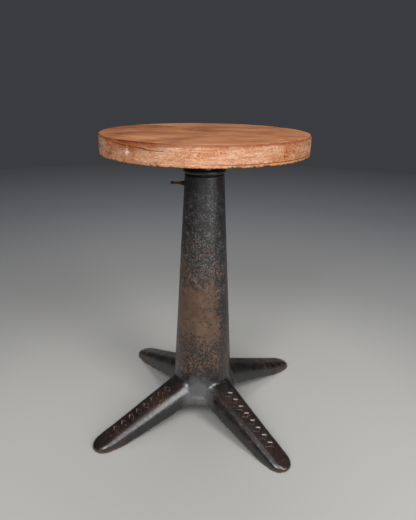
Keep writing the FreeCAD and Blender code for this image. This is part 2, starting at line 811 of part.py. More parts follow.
def on_seat_foot(edge):
    return is_ring_at(edge, number("sizes.seat_radius"), number(SEAT_UNDERSIDE))


round_edges(upper, "seat_rim", "sizes.seat_edge_round", on_seat_rim)
bevel_edges(lower, "seat_foot", 0.8, on_seat_foot)
cut("seat_veneer", lower, pilot_holes)
cut("seat_core", middle, pilot_holes)

doc.recompute()

# --- files ----------------------------------------------------------------------------------

NODES = [
    "pedestal",
    "neck_bush",
    "clamp_pad",
    "clamp_screw",
    "post",
    "stop_collar",
    "stop_collar_pin",
    "rest_collar",
    "rest_collar_pin",
    "thrust_washer",
    "top_washer",
    "castle_nut",
    "split_pin",
    "seat_plate",
    "swivel_bush",
    "seat_screws",
    "seat_veneer",
    "seat_core",
    "seat_top",
]

for thing in doc.Objects:
    if "Invalid" in thing.State or "Error" in thing.State:
        raise RuntimeError(f"{thing.Label}: {thing.State}")

os.makedirs("parts", exist_ok=True)
for label in NODES:
    found = [thing for thing in doc.Objects if thing.Label == label]
    if len(found) != 1:
        raise RuntimeError(f"{label} names {len(found)} objects")
    shape = found[0].Shape
    if shape.isNull() or not shape.isValid() or not shape.Solids:
        raise RuntimeError(f"{label} has no sound solid")
    shape.exportStep(f"parts/{label}.step")
    print(f"{label}: {len(shape.Solids)} solid, {shape.Volume / 1000:.1f} cm3")
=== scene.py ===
"""Adjustable swivel stool: the looks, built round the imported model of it.

Metres, +Z up, floor at 0, column on the Z axis, clamp screw along -X, legs between the axes.
The sections follow the stool as it is put together, from the casting on the floor up to the seat.
"""

import math

import bpy
from mathutils import Matrix, Vector, noise


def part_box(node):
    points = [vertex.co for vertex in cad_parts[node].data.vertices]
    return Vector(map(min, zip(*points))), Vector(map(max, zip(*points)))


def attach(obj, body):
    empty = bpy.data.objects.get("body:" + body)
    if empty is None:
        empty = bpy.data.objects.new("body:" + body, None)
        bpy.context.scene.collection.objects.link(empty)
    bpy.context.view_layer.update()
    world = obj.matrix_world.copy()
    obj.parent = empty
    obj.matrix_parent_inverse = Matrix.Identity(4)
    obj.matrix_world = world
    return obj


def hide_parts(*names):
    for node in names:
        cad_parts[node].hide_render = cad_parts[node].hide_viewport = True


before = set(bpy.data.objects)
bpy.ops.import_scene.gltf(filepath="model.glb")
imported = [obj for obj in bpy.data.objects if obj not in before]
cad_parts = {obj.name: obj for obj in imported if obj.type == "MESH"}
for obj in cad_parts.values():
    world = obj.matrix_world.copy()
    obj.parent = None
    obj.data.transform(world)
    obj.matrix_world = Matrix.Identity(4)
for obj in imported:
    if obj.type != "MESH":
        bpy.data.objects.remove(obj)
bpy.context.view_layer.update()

# --- pedestal ---------------------------------------------------------------------------------
# One grey iron sand casting: a tapered hollow column running out into four hollow arched legs.
# Stove enamelled black long ago. The paint is worn to a dull brown where shoes and hands rub it,
# and pitted to bare grey specks where the cast skin was rough.

bush_low, bush_high = (Vector(corner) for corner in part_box("neck_bush"))
HEAD_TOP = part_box("pedestal")[1][2]
BUSH_RADIUS = bush_high.x
FOOT_RADIUS = 0.0524
FOOT_HEIGHT = 0.078
NECK_RADIUS = 0.0324
NECK_HEIGHT = HEAD_TOP - 0.0090
SEAM_HEIGHT = 0.100
WALL = 0.007
LEG_WALL = 0.006
LEG_REACH = 0.2290
column_slope = (FOOT_RADIUS - NECK_RADIUS) / (NECK_HEIGHT - FOOT_HEIGHT)


def column_radius(height):
    """Radius of the column's straight cone at a height."""
    return NECK_RADIUS + column_slope * (NECK_HEIGHT - height)


def only(thing):
    """Makes one object the whole selection."""
    if bpy.context.mode != "OBJECT":
        bpy.ops.object.mode_set(mode="OBJECT")
    bpy.ops.object.select_all(action="DESELECT")
    thing.select_set(True)
    bpy.context.view_layer.objects.active = thing
    return thing


def apply_modifier(thing, kind, **settings):
    only(thing)
    made = thing.modifiers.new(kind.lower(), kind)
    for name, value in settings.items():
        setattr(made, name, value)
    bpy.ops.object.modifier_apply(modifier=made.name)
    return thing


def copy_of_node(name, new_name):
    """A merged copy of a CAD node's mesh, on its own object."""
    only(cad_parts[name])
    bpy.ops.object.duplicate()
    made = bpy.context.view_layer.objects.active
    made.parent = None
    made.matrix_world = Matrix.Identity(4)
    made.name = made.data.name = new_name
    made.data.materials.clear()
    bpy.ops.object.mode_set(mode="EDIT")
    bpy.ops.mesh.select_all(action="SELECT")
    bpy.ops.mesh.remove_doubles(threshold=0.00001)
    bpy.ops.object.mode_set(mode="OBJECT")
    return made


def soften(thing, voxel, passes):
    """Rounds every edge and inner corner a little, as a sand mould and its fillets do."""
    apply_modifier(thing, "REMESH", mode="VOXEL", voxel_size=voxel, use_smooth_shade=True)
    apply_modifier(thing, "SMOOTH", factor=0.5, iterations=passes)
    return thing


def roughen(thing, height, grain, seed):
    """Moves each point along its normal by smooth noise, like the skin of a sand casting."""
    offset = Vector((seed, seed * 1.7, seed * 0.6))
    mesh = thing.data
    normals = [v.normal.copy() for v in mesh.vertices]
    for vertex, normal in zip(mesh.vertices, normals):
        coarse = noise.noise(vertex.co / grain + offset)
        fine = noise.noise(vertex.co / (grain * 0.3) - offset)
        vertex.co += normal * height * (coarse + 0.5 * fine)
    mesh.update()
    return thing


def join(target, *others):
    only(target)
    for other in others:
        other.select_set(True)
    bpy.ops.object.join()
    return target


# A leg's section is a low hump: flat along the top, well rounded at the shoulders, then a
# nearly upright wall. It is drawn one unit wide each way and one unit high.
ROOF_SHARE = 0.40
SHOULDER_DROP = 0.52
WALL_TOP_SHARE = 0.94
hump = [(1.0, 0.0), (WALL_TOP_SHARE, 1 - SHOULDER_DROP)]
for degrees in range(15, 91, 15):
    turn = math.radians(degrees)
    across = ROOF_SHARE + (WALL_TOP_SHARE - ROOF_SHARE) * math.cos(turn)
    hump.append((across, 1 - SHOULDER_DROP + SHOULDER_DROP * math.sin(turn)))
hump += [(-across, rise) for across, rise in reversed(hump)]

TOE_RADIUS = 0.0208
TOE_MIDDLE = LEG_REACH - TOE_RADIUS
ROOT_HALF_WIDTH = 0.0385
ROOF_AT_COLUMN = 0.0710
ROOF_AT_TOE = 0.0155
TIP_SHARE = 0.62


def half_width(along):
    return ROOT_HALF_WIDTH + (TOE_RADIUS - ROOT_HALF_WIDTH) * along / TOE_MIDDLE


def roof(along):
    share = (along - FOOT_RADIUS) / (TOE_MIDDLE - FOOT_RADIUS)
    return ROOF_AT_COLUMN + (ROOF_AT_TOE - ROOF_AT_COLUMN) * share


def cast_leg(name, start, end, inset):
    """A solid leg along +X, drawn out station by station and rounded off at the toe."""
    bpy.ops.mesh.primitive_plane_add(size=0.001)
    made = bpy.context.object
    made.name = made.data.name = name
    bpy.ops.object.mode_set(mode="EDIT")
    bpy.ops.mesh.select_all(action="SELECT")
    bpy.ops.mesh.delete(type="VERT")
    bpy.ops.object.mode_set(mode="OBJECT")
    wide, tall = half_width(start) - inset, roof(start) - inset
    points = [(start, across * wide, rise * tall) for across, rise in hump]
    made.data.from_pydata(points, [], [tuple(range(len(points)))])
    bpy.ops.object.mode_set(mode="EDIT")
    bpy.ops.mesh.select_all(action="SELECT")
    nose = TOE_RADIUS - inset
    middle = end - nose
    stations = []
    for i in range(1, 9):
        along = start + (middle - start) * i / 8
        stations.append((along, half_width(along) - inset, roof(along) - inset))
    last_wide = stations[-1][1]
    for degrees in (15, 30, 43, 55, 66, 76, 84, 88):
        turn = math.radians(degrees)
        along = middle + nose * math.sin(turn)
        tall_here = (roof(along) - inset) * (TIP_SHARE + (1 - TIP_SHARE) * math.cos(turn))
        stations.append((along, last_wide * math.cos(turn), tall_here))
    at = start
    for along, new_wide, new_tall in stations:
        bpy.ops.mesh.extrude_region_move(
            TRANSFORM_OT_translate={"value": (along - at, 0, 0)}
        )
        bpy.ops.transform.resize(
            value=(1, new_wide / wide, new_tall / tall), center_override=(along, 0, 0)
        )
        at, wide, tall = along, new_wide, new_tall
    bpy.ops.mesh.select_all(action="SELECT")
    bpy.ops.mesh.normals_make_consistent(inside=False)
    bpy.ops.object.mode_set(mode="OBJECT")
    return made


def all_round(leg):
    """Four copies of a leg about the column, midway between the X and Y axes."""
    copies = []
    for degrees in (45, 135, 225, 315):
        made = leg.copy()
        made.data = leg.data.copy()
        bpy.context.collection.objects.link(made)
        made.data.transform(Matrix.Rotation(math.radians(degrees), 4, "Z"))
        copies.append(made)
    bpy.data.objects.remove(leg)
    return copies


def turned(name, section, steps, closed=True):
    """Spins a (radius, height) section about the Z axis."""
    bpy.ops.mesh.primitive_plane_add(size=0.001)
    made = bpy.context.object
    made.name = made.data.name = name
    bpy.ops.object.mode_set(mode="EDIT")
    bpy.ops.mesh.select_all(action="SELECT")
    bpy.ops.mesh.delete(type="VERT")
    bpy.ops.object.mode_set(mode="OBJECT")
    points = [(radius, 0, height) for radius, height in section]
    links = [(i, i + 1) for i in range(len(points) - 1)]
    if closed:
        links.append((len(points) - 1, 0))
    made.data.from_pydata(points, links, [])
    bpy.ops.object.mode_set(mode="EDIT")
    bpy.ops.mesh.select_all(action="SELECT")
    bpy.ops.mesh.spin(steps=steps, angle=math.tau, center=(0, 0, 0), axis=(0, 0, 1))
    bpy.ops.mesh.select_all(action="SELECT")
    bpy.ops.mesh.remove_doubles(threshold=0.000005)
    bpy.ops.mesh.normals_make_consistent(inside=False)
    bpy.ops.object.mode_set(mode="OBJECT")
    return made


# The hub: the column runs out into a skirt with a soft lip between the legs.
hub_section = [
    (0.0, 0.020),
    (0.0600, 0.020),
    (0.0618, 0.0230),
    (0.0616, 0.0425),
    (0.0604, 0.0460),
    (0.0575, 0.0500),
    (0.0552, 0.0565),
    (0.0540, 0.0650),
    (0.0528, 0.0730),
    (column_radius(0.0800), 0.0800),
    (column_radius(SEAM_HEIGHT), SEAM_HEIGHT),
    (0.0, SEAM_HEIGHT),
]
BASE_VOXEL = 0.0018
LEG_START = 0.020
base = turned("pedestal_base", hub_section, 96, closed=False)
join(base, *all_round(cast_leg("leg", LEG_START, LEG_REACH, 0.0)))
apply_modifier(base, "REMESH", mode="VOXEL", voxel_size=BASE_VOXEL)

# The sand cores that leave the column, the hub and the legs hollow.
CORE_REACH = 0.186
OVERRUN = 0.010
hub_core_section = [
    (0.0, -OVERRUN),
    (0.0555, -OVERRUN),
    (0.0555, 0.0390),
    (0.0465, 0.0620),
    (column_radius(SEAM_HEIGHT) - WALL, SEAM_HEIGHT + OVERRUN),
    (0.0, SEAM_HEIGHT + OVERRUN),
]
hub_core = turned("hub_core", hub_core_section, 64, closed=False)
leg_cores = all_round(cast_leg("leg_core", LEG_START, CORE_REACH, LEG_WALL))
# The arch under the casting: a low four sided pyramid, one corner to each axis.
ARCH_HALF_WIDTH = 0.203
ARCH_TOP_HALF_WIDTH = 0.0615
ARCH_TOP = 0.0310
ARCH_DEPTH = 0.0350
bpy.ops.mesh.primitive_cone_add(
    vertices=4,
    radius1=ARCH_HALF_WIDTH * math.sqrt(2),
    radius2=ARCH_TOP_HALF_WIDTH * math.sqrt(2),
    depth=ARCH_DEPTH,
    location=(0, 0, ARCH_TOP - ARCH_DEPTH / 2),
)
arch = bpy.context.object
bpy.ops.object.transform_apply(location=True, rotation=True, scale=True)
for core in (hub_core, arch, *leg_cores):
    apply_modifier(base, "BOOLEAN", object=core, operation="DIFFERENCE", solver="EXACT")
    bpy.data.objects.remove(core)
soften(base, voxel=BASE_VOXEL, passes=10)
# Deeper fillets where the legs run into the hub.
fillets = base.vertex_groups.new(name="fillets")
for vertex in base.data.vertices:
    out = math.hypot(vertex.co.x, vertex.co.y)
    weight = min(1, max(0, (0.098 - out) / 0.030)) * min(1, max(0, (0.094 - vertex.co.z) / 0.010))
    weight *= min(1, max(0, (out - 0.050) / 0.004))
    if weight > 0:
        fillets.add([vertex.index], weight, "REPLACE")
apply_modifier(base, "SMOOTH", factor=0.5, iterations=30, vertex_group="fillets")
base.vertex_groups.clear()
roughen(base, height=0.00018, grain=0.018, seed=3.1)
# The feet are ground flat.
for vertex in base.data.vertices:
    vertex.co.z = max(0.0, vertex.co.z)

# Cast marks along the two front legs: a row of plain raised lozenges with sunk middles.
LOZENGE_ALONG = 0.0130
LOZENGE_ACROSS = 0.0210
LOZENGE_HEIGHT = 0.0018
LOZENGE_PITCH = 0.0150
FIRST_LOZENGE = 0.080
LOZENGE_COUNT = 8
LOZENGE_ROOT = 0.0015

bpy.ops.mesh.primitive_circle_add(vertices=4, radius=0.5, fill_type="NGON")
lozenge = bpy.context.object
bpy.ops.object.mode_set(mode="EDIT")
bpy.ops.mesh.select_all(action="SELECT")
bpy.ops.transform.resize(value=(LOZENGE_ALONG, LOZENGE_ACROSS, 1))
bpy.ops.transform.translate(value=(0, 0, -LOZENGE_ROOT))
bpy.ops.mesh.extrude_region_move(
    TRANSFORM_OT_translate={"value": (0, 0, LOZENGE_ROOT + LOZENGE_HEIGHT)}
)
bpy.ops.transform.resize(value=(0.84, 0.84, 1))
bpy.ops.mesh.inset(thickness=0.0016)
bpy.ops.transform.translate(value=(0, 0, -LOZENGE_HEIGHT))
bpy.ops.transform.resize(value=(0.8, 0.8, 1))
bpy.ops.object.mode_set(mode="OBJECT")
apply_modifier(lozenge, "BEVEL", width=0.0005, segments=3, limit_method="NONE")
bpy.ops.object.shade_smooth_by_angle(angle=math.radians(40))

marks = []
slope = math.atan2(ROOF_AT_COLUMN - ROOF_AT_TOE, TOE_MIDDLE - FOOT_RADIUS)
for leg_angle in (-45, -135):
    for i in range(LOZENGE_COUNT):
        mark = lozenge.copy()
        mark.data = lozenge.data.copy()
        bpy.context.collection.objects.link(mark)
        along = FIRST_LOZENGE + i * LOZENGE_PITCH
        mark.data.transform(Matrix.Rotation(slope, 4, "Y"))
        mark.data.transform(Matrix.Translation((along, 0, roof(along) - 0.0003)))
        mark.data.transform(Matrix.Rotation(math.radians(leg_angle), 4, "Z"))
        marks.append(mark)
bpy.data.objects.remove(lozenge)
plain_faces = len(base.data.polygons)
join(base, *marks)

# The column: turned about its axis from one closed section, hollow down to the hub.
LAP = SEAM_HEIGHT - 0.010
bead = [
    (NECK_RADIUS - 0.0004, NECK_HEIGHT - 0.0012),
    (NECK_RADIUS - 0.0018, NECK_HEIGHT - 0.0006),
    (NECK_RADIUS - 0.0022, NECK_HEIGHT + 0.0004),
    (NECK_RADIUS - 0.0014, NECK_HEIGHT + 0.0014),
    (NECK_RADIUS + 0.0008, NECK_HEIGHT + 0.0018),
    (NECK_RADIUS + 0.0020, NECK_HEIGHT + 0.0026),
    (NECK_RADIUS + 0.0027, NECK_HEIGHT + 0.0040),
    (NECK_RADIUS + 0.0029, NECK_HEIGHT + 0.0055),
    (NECK_RADIUS + 0.0024, NECK_HEIGHT + 0.0072),
    (NECK_RADIUS + 0.0012, NECK_HEIGHT + 0.0084),
    (NECK_RADIUS - 0.0004, HEAD_TOP - 0.0001),
]
RING_STEP = 0.0021
ring_count = round((NECK_HEIGHT - 0.002 - LAP) / RING_STEP)
outside = []
for i in range(ring_count + 1):
    height = LAP + (NECK_HEIGHT - 0.002 - LAP) * i / ring_count
    outside.append((column_radius(height) + 0.00008, height))
inside = [
    (BUSH_RADIUS + 0.0006, HEAD_TOP - 0.0001),
    (BUSH_RADIUS, HEAD_TOP - 0.0006),
    (BUSH_RADIUS, bush_low.z),
    (column_radius(bush_low.z) - WALL, bush_low.z),
    (column_radius(0.24) - WALL, 0.24),
    (column_radius(LAP) - WALL, LAP),
]
section = outside + bead + inside

column = turned("pedestal_column", section, 160)
bpy.ops.object.shade_smooth_by_angle(angle=math.radians(50))

# The tapped hole in the neck for the clamp screw.
screw_low, screw_high = (Vector(corner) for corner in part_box("clamp_screw"))
CLAMP_HEIGHT = (screw_low.z + screw_high.z) / 2
HOLE_RADIUS = 0.00403
HOLE_MIDDLE = -0.031
HOLE_LENGTH = 0.022
bpy.ops.mesh.primitive_cylinder_add(
    vertices=32,
    radius=HOLE_RADIUS,
    depth=HOLE_LENGTH,
    location=(HOLE_MIDDLE, 0, CLAMP_HEIGHT),
    rotation=(0, math.pi / 2, 0),
)
drill = bpy.context.object
apply_modifier(column, "BOOLEAN", object=drill, operation="DIFFERENCE", solver="EXACT")
bpy.data.objects.remove(drill)


WAVE = 0.00020
PIT_DEPTH = 0.00075


def pit(thing, low, high):
    """Sinks small pits into the outside of the column, thickest on its upper half."""
    mesh = thing.data
    normals = [v.normal.copy() for v in mesh.vertices]
    for vertex, normal in zip(mesh.vertices, normals):
        place = vertex.co
        if math.hypot(place.x, place.y) < column_radius(place.z) - 0.002:
            continue
        fade = min(1, max(0, (high - place.z) / 0.02)) * min(1, max(0, (place.z - low) / 0.02))
        wave = noise.noise(place / 0.022) + 0.5 * noise.noise(place / 0.009)
        grit = max(0, noise.noise(place / 0.0042) - 0.12)
        upper = 0.35 + 0.65 * min(1, max(0, (place.z - 0.22) / 0.10))
        vertex.co = place + normal * fade * (WAVE * wave - PIT_DEPTH * grit * upper)
    mesh.update()


pit(column, LAP + 0.006, NECK_HEIGHT - 0.002)

for piece in (base, column):
    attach(piece, "pedestal")
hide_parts("pedestal")
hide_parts("pedestal")


def linear(colour):
    """An sRGB hex colour as the linear RGBA that a shader takes."""
    parts = [int(colour[i : i + 2], 16) / 255 for i in (1, 3, 5)]
    turned = [p / 12.92 if p <= 0.04045 else ((p + 0.055) / 1.055) ** 2.4 for p in parts]
    return (*turned, 1.0)


def add(material, kind, links=(), stops=(), **settings):
    """Adds a node. Links are what its inputs take, by name or in order: a number, a vector, a
    hex colour, an output or another node. Stops are the (place, colour or grey) of a ramp."""
    made = material.node_tree.nodes.new("ShaderNode" + kind)
    for name, value in settings.items():
        setattr(made, name, value)
    for i in range(2, len(stops)):
        made.color_ramp.elements.new(0.5)
    for i, (place, value) in enumerate(stops):
        colour = linear(value) if isinstance(value, str) else (value, value, value, 1)
        made.color_ramp.elements[i].position = place
        made.color_ramp.elements[i].color = colour
    for name, value in links.items() if isinstance(links, dict) else enumerate(links):
        if isinstance(value, bpy.types.Node):
            value = next(output for output in value.outputs if output.enabled)
        if isinstance(value, bpy.types.NodeSocket):
            material.node_tree.links.new(value, made.inputs[name])
        else:
            made.inputs[name].default_value = linear(value) if isinstance(value, str) else value
    return made


def new_material(name):
    material = bpy.data.materials.new(name)
    material.use_nodes = True
    material.node_tree.nodes.clear()
    return material


# Worn black stove enamel on cast iron: charcoal, softly shining, rubbed through to smooth brown
# on the lower half of the column, with grey specks where the rough skin above lost its paint.
enamel = new_material("worn stove enamel on cast iron with a painted web highlight")
where = add(enamel, "TexCoord").outputs["Object"]
split = add(enamel, "SeparateXYZ", {"Vector": where})
height = split.outputs["Z"]
# Noise that wanders over 50 mm and 13 mm, spots of 4 mm, pocks of 2.5 mm, grit of 1.3 mm.
broad = add(enamel, "TexNoise", {"Vector": where, "Scale": 20, "Detail": 3, "Roughness": 0.55})
middling = add(
    enamel,
    "TexNoise",
    {"Vector": where, "Scale": 75, "Detail": 4, "Roughness": 0.6, "Distortion": 0.4},
)
spots = add(
    enamel,
    "TexNoise",
    {"Vector": where, "Scale": 260, "Detail": 2, "Roughness": 0.6, "Distortion": 0.6},
)
pocks = add(enamel, "TexNoise", {"Vector": where, "Scale": 500, "Detail": 2, "Roughness": 0.5})
grit = add(enamel, "TexNoise", {"Vector": where, "Scale": 760, "Detail": 2, "Roughness": 0.6})

paint = add(
    enamel,
    "ValToRGB",
    {"Fac": middling},
    stops=[(0.30, "#080808"), (0.50, "#100f10"), (0.70, "#191819")],
)
# Brown shows through the paint as a faint red, mostly on the tops of the legs.
normal = add(enamel, "NewGeometry").outputs["Normal"]
upward = add(enamel, "SeparateXYZ", {"Vector": normal}).outputs["Z"]
tinge = add(enamel, "Math", [broad, 4.0, -2.4], operation="MULTIPLY_ADD")
tinge = add(
    enamel,
    "Math",
    [tinge, add(enamel, "Math", [spots, 2.4, -1.2], operation="MULTIPLY_ADD")],
    operation="ADD",
)
tinge = add(enamel, "Math", [upward, 1.1, tinge], operation="MULTIPLY_ADD", use_clamp=True)
paint = add(
    enamel,
    "Mix",
    {0: add(enamel, "Math", [tinge, 0.55], operation="MULTIPLY"), 6: paint, 7: "#36241b"},
    data_type="RGBA",
)
# Painted highlight: the web between the two front legs is painted a lighter grey, where it would
# catch the light.
WEB_HIGHLIGHT_CENTRE = (0.0, -0.064, 0.058)
to_web_highlight = add(enamel, "VectorMath", {0: where, 1: WEB_HIGHLIGHT_CENTRE}, operation="DISTANCE")
painted_web_highlight = add(enamel, "Math", [to_web_highlight, -55.0, 2.0], operation="MULTIPLY_ADD")
painted_web_highlight = add(
    enamel,
    "Math",
    [painted_web_highlight, add(enamel, "Math", [middling, 1.6, -0.8], operation="MULTIPLY_ADD")],
    operation="ADD",
    use_clamp=True,
)
# Mixes the painted grey highlight into the paint on the web.
paint = add(
    enamel,
    "Mix",
    {0: add(enamel, "Math", [painted_web_highlight, 0.8], operation="MULTIPLY"), 6: paint, 7: "#565658"},
    data_type="RGBA",
)
rubbed_tone = add(
    enamel,
    "ValToRGB",
    {"Fac": middling},
    stops=[(0.28, "#402a18"), (0.50, "#543a26"), (0.72, "#634a38")],
)

# How much of the paint is gone, by height: 0 is the floor, 1 is half a metre up.
high = add(enamel, "Math", [height, 2.0], operation="MULTIPLY")
gone_left = add(
    enamel,
    "ValToRGB",
    {"Fac": high},
    stops=[
        (0.08, -0.10),
        (0.14, 0.02),
        (0.20, 0.48),
        (0.32, 0.60),
        (0.37, 0.98),
        (0.48, 0.98),
        (0.53, 0.54),
        (0.62, 0.32),
        (0.70, 0.12),
        (0.95, 0.06),
    ],
)
gone_right = add(
    enamel,
    "ValToRGB",
    {"Fac": high},
    stops=[
        (0.08, -0.10),
        (0.14, 0.02),
        (0.21, 0.32),
        (0.34, 0.38),
        (0.47, 0.36),
        (0.54, 0.18),
        (0.64, 0.10),
        (0.95, 0.05),
    ],
)
# The rubbed side is the front, a little to the left.
RUBBED_SIDE = (-0.42, -0.91, 0.0)
facing = add(enamel, "VectorMath", {0: where, 1: RUBBED_SIDE}, operation="DOT_PRODUCT")
rubbed_side = add(
    enamel,
    "Math",
    [add(enamel, "Math", [facing, 60.0, -1.13], operation="MULTIPLY_ADD"), broad],
    operation="ADD",
    use_clamp=True,
)
gone = add(enamel, "Mix", {0: rubbed_side, 6: gone_right, 7: gone_left}, data_type="RGBA")
# The edge of the paint breaks up into spots.
for pattern, strength in ((broad, 1.1), (spots, 3.0), (grit, 0.7)):
    around_zero = add(enamel, "Math", [pattern, strength, -strength / 2], operation="MULTIPLY_ADD")
    gone = add(enamel, "Math", [gone, around_zero], operation="ADD")
# The back legs are browner than the front ones.
at_back = add(
    enamel,
    "Math",
    [split.outputs["Y"], 14.0, -0.8],
    operation="MULTIPLY_ADD",
    use_clamp=True,
)
low_down = add(enamel, "Math", [height, -30.0, 2.6], operation="MULTIPLY_ADD", use_clamp=True)
gone = add(
    enamel,
    "Math",
    [add(enamel, "Math", [at_back, low_down], operation="MULTIPLY"), 0.34, gone],
    operation="MULTIPLY_ADD",
)
rubbed = add(enamel, "Math", [gone, 6.0, -2.9], operation="MULTIPLY_ADD", use_clamp=True)
coloured = add(
    enamel,
    "Mix",
    {0: add(enamel, "Math", [rubbed, 0.9], operation="MULTIPLY"), 6: paint, 7: rubbed_tone},
    data_type="RGBA",
)

# Bare grey specks on the upper half, thickest a third of the way down.
speck_share = add(
    enamel,
    "ValToRGB",
    {"Fac": high},
    stops=[(0.45, 0.0), (0.54, 0.75), (0.66, 1.0), (0.80, 0.9), (0.86, 0.2)],
)
specks = add(enamel, "Math", [pocks, 14.0, -8.3], operation="MULTIPLY_ADD")
specks = add(
    enamel,
    "Math",
    [specks, add(enamel, "Math", [middling, 5.0, -2.5], operation="MULTIPLY_ADD")],
    operation="ADD",
)
specks = add(enamel, "Math", [specks, speck_share], operation="MULTIPLY", use_clamp=True)
coloured = add(
    enamel,
    "Mix",
    {0: add(enamel, "Math", [specks, 0.7], operation="MULTIPLY"), 6: coloured, 7: "#76726e"},
    data_type="RGBA",
)
# Rust creeps up from the floor on the toes.
toe_share = add(enamel, "Math", [height, -130.0, 0.95], operation="MULTIPLY_ADD", use_clamp=True)
toe_share = add(
    enamel,
    "Math",
    [toe_share, add(enamel, "Math", [spots, 1.7], operation="MULTIPLY")],
    operation="MULTIPLY",
    use_clamp=True,
)
coloured = add(
    enamel,
    "Mix",
    {0: add(enamel, "Math", [toe_share, 0.7], operation="MULTIPLY"), 6: coloured, 7: "#6e452d"},
    data_type="RGBA",
)

shine = add(enamel, "ValToRGB", {"Fac": middling}, stops=[(0.25, 0.25), (0.60, 0.31), (0.80, 0.38)])
rough = add(enamel, "Mix", {0: rubbed, 6: shine, 7: "#7c7c7c"}, data_type="RGBA")
# The column's skin is rougher than the legs', which shoes have polished.
skin = add(enamel, "Math", [height, 12.0, -0.9], operation="MULTIPLY_ADD", use_clamp=True)
rough = add(
    enamel,
    "Math",
    [rough, add(enamel, "Math", [skin, 0.14], operation="MULTIPLY")],
    operation="ADD",
)
relief = add(enamel, "Bump", {"Height": rubbed, "Strength": 0.5, "Distance": -0.00025})
relief = add(
    enamel,
    "Bump",
    {
        "Height": grit,
        "Strength": add(enamel, "Math", [skin, 0.30, 0.06], operation="MULTIPLY_ADD"),
        "Distance": 0.0005,
        "Normal": relief,
    },
)
relief = add(
    enamel,
    "Bump",
    {"Height": middling, "Strength": 0.25, "Distance": 0.0012, "Normal": relief},
)
surface = add(
    enamel,
    "BsdfPrincipled",
    {"Base Color": coloured, "Roughness": rough, "Metallic": 0.0, "Normal": relief},
)
surface.inputs["Specular IOR Level"].default_value = 0.85
add(enamel, "OutputMaterial", [surface])

# The raised marks are rubbed through to warm brown iron that catches the light.
rubbed_iron = new_material("rubbed cast iron")
where = add(rubbed_iron, "TexCoord").outputs["Object"]
tarnish = add(
    rubbed_iron,
    "TexNoise",
    {"Vector": where, "Scale": 260, "Detail": 3, "Roughness": 0.6},
)
tone = add(
    rubbed_iron,
    "ValToRGB",
    {"Fac": tarnish},
    stops=[(0.36, "#161211"), (0.54, "#2e1f18"), (0.70, "#70492f")],
)
rough = add(rubbed_iron, "ValToRGB", {"Fac": tarnish}, stops=[(0.30, 0.38), (0.70, 0.28)])
relief = add(rubbed_iron, "Bump", {"Height": tarnish, "Strength": 0.3, "Distance": 0.0004})
surface = add(
    rubbed_iron,
    "BsdfPrincipled",
    {"Base Color": tone, "Roughness": rough, "Metallic": 0.0, "Normal": relief},
)
surface.inputs["Specular IOR Level"].default_value = 1.0
add(rubbed_iron, "OutputMaterial", [surface])

for piece in (base, column):
    piece.data.materials.clear()
    piece.data.materials.append(enamel)
base.data.materials.append(rubbed_iron)
for face in base.data.polygons[plain_faces:]:
    face.material_index = 1

# --- neck bush --------------------------------------------------------------------------------
# Gunmetal sleeve pressed into the head of the column, bored to slide on the post.
# Turned and reamed, then oiled for years: a dull yellow-brown with fine rings round it.

gunmetal = new_material("oiled gunmetal")
where = add(gunmetal, "TexCoord").outputs["Object"]
# Turning marks 0.5 mm apart would not show, so they are drawn 1.2 mm apart.
lathe = add(
    gunmetal,
    "TexWave",
    {"Vector": where, "Scale": 260, "Distortion": 1.0, "Detail": 1.0},
    wave_type="BANDS",
    bands_direction="Z",
).outputs["Fac"]
stain = add(gunmetal, "TexNoise", {"Vector": where, "Scale": 140, "Detail": 4, "Roughness": 0.6})
tone = add(
    gunmetal,
    "ValToRGB",
    {"Fac": stain},
    stops=[(0.30, "#4c3a22"), (0.55, "#7d6238"), (0.75, "#a98a55")],
)
bump = add(gunmetal, "Bump", {"Height": lathe, "Strength": 0.2, "Distance": 0.0002})
rough = add(gunmetal, "ValToRGB", {"Fac": stain}, stops=[(0.3, 0.50), (0.7, 0.32)])
surface = add(
    gunmetal,
    "BsdfPrincipled",
    {"Base Color": tone, "Roughness": rough, "Metallic": 1.0, "Normal": bump},
)
add(gunmetal, "OutputMaterial", [surface])


def paint_node(name, material):
    """Puts a material on a CAD node."""
    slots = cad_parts[name].data.materials
    slots.clear()
    slots.append(material)


for name in ("neck_bush", "clamp_pad", "swivel_bush", "thrust_washer"):
    paint_node(name, gunmetal)

# --- clamp screw ------------------------------------------------------------------------------
# Steel screw with its outer end drawn down to a waist and a blunt knob for finger and thumb.
# Never painted: brown rust all over, darker in the thread and rubbed paler on the flat.

THREAD_RADIUS = 0.00397
THREAD_PITCH = 0.00141
THREAD_DEPTH = 0.0007
THREAD_END = -0.038
NOSE_RADIUS = 0.0020
NOSE_LENGTH = 0.0016
NOSE = screw_high.x
TIP = screw_low.x

bpy.ops.mesh.primitive_circle_add(
    vertices=28,
    radius=NOSE_RADIUS,
    fill_type="NGON",
    location=(NOSE, 0, CLAMP_HEIGHT),
    rotation=(0, -math.pi / 2, 0),
)
clamp_screw = bpy.context.object
clamp_screw.name = clamp_screw.data.name = "clamp_screw_steel"
bpy.ops.object.transform_apply(location=True, rotation=True, scale=True)
bpy.ops.object.mode_set(mode="EDIT")
bpy.ops.mesh.select_all(action="SELECT")
here = [NOSE, NOSE_RADIUS]


def draw_out(distance, radius, flatten=1.0, widen=1.0):
    """Extrudes the end of the screw along -X to a new radius about its axis."""
    bpy.ops.mesh.extrude_region_move(
        TRANSFORM_OT_translate={"value": (distance - here[0], 0, 0)}
    )
    scale = radius / here[1]
    bpy.ops.transform.resize(
        value=(1, scale * widen, scale * flatten), center_override=(distance, 0, CLAMP_HEIGHT)
    )
    here[0], here[1] = distance, radius


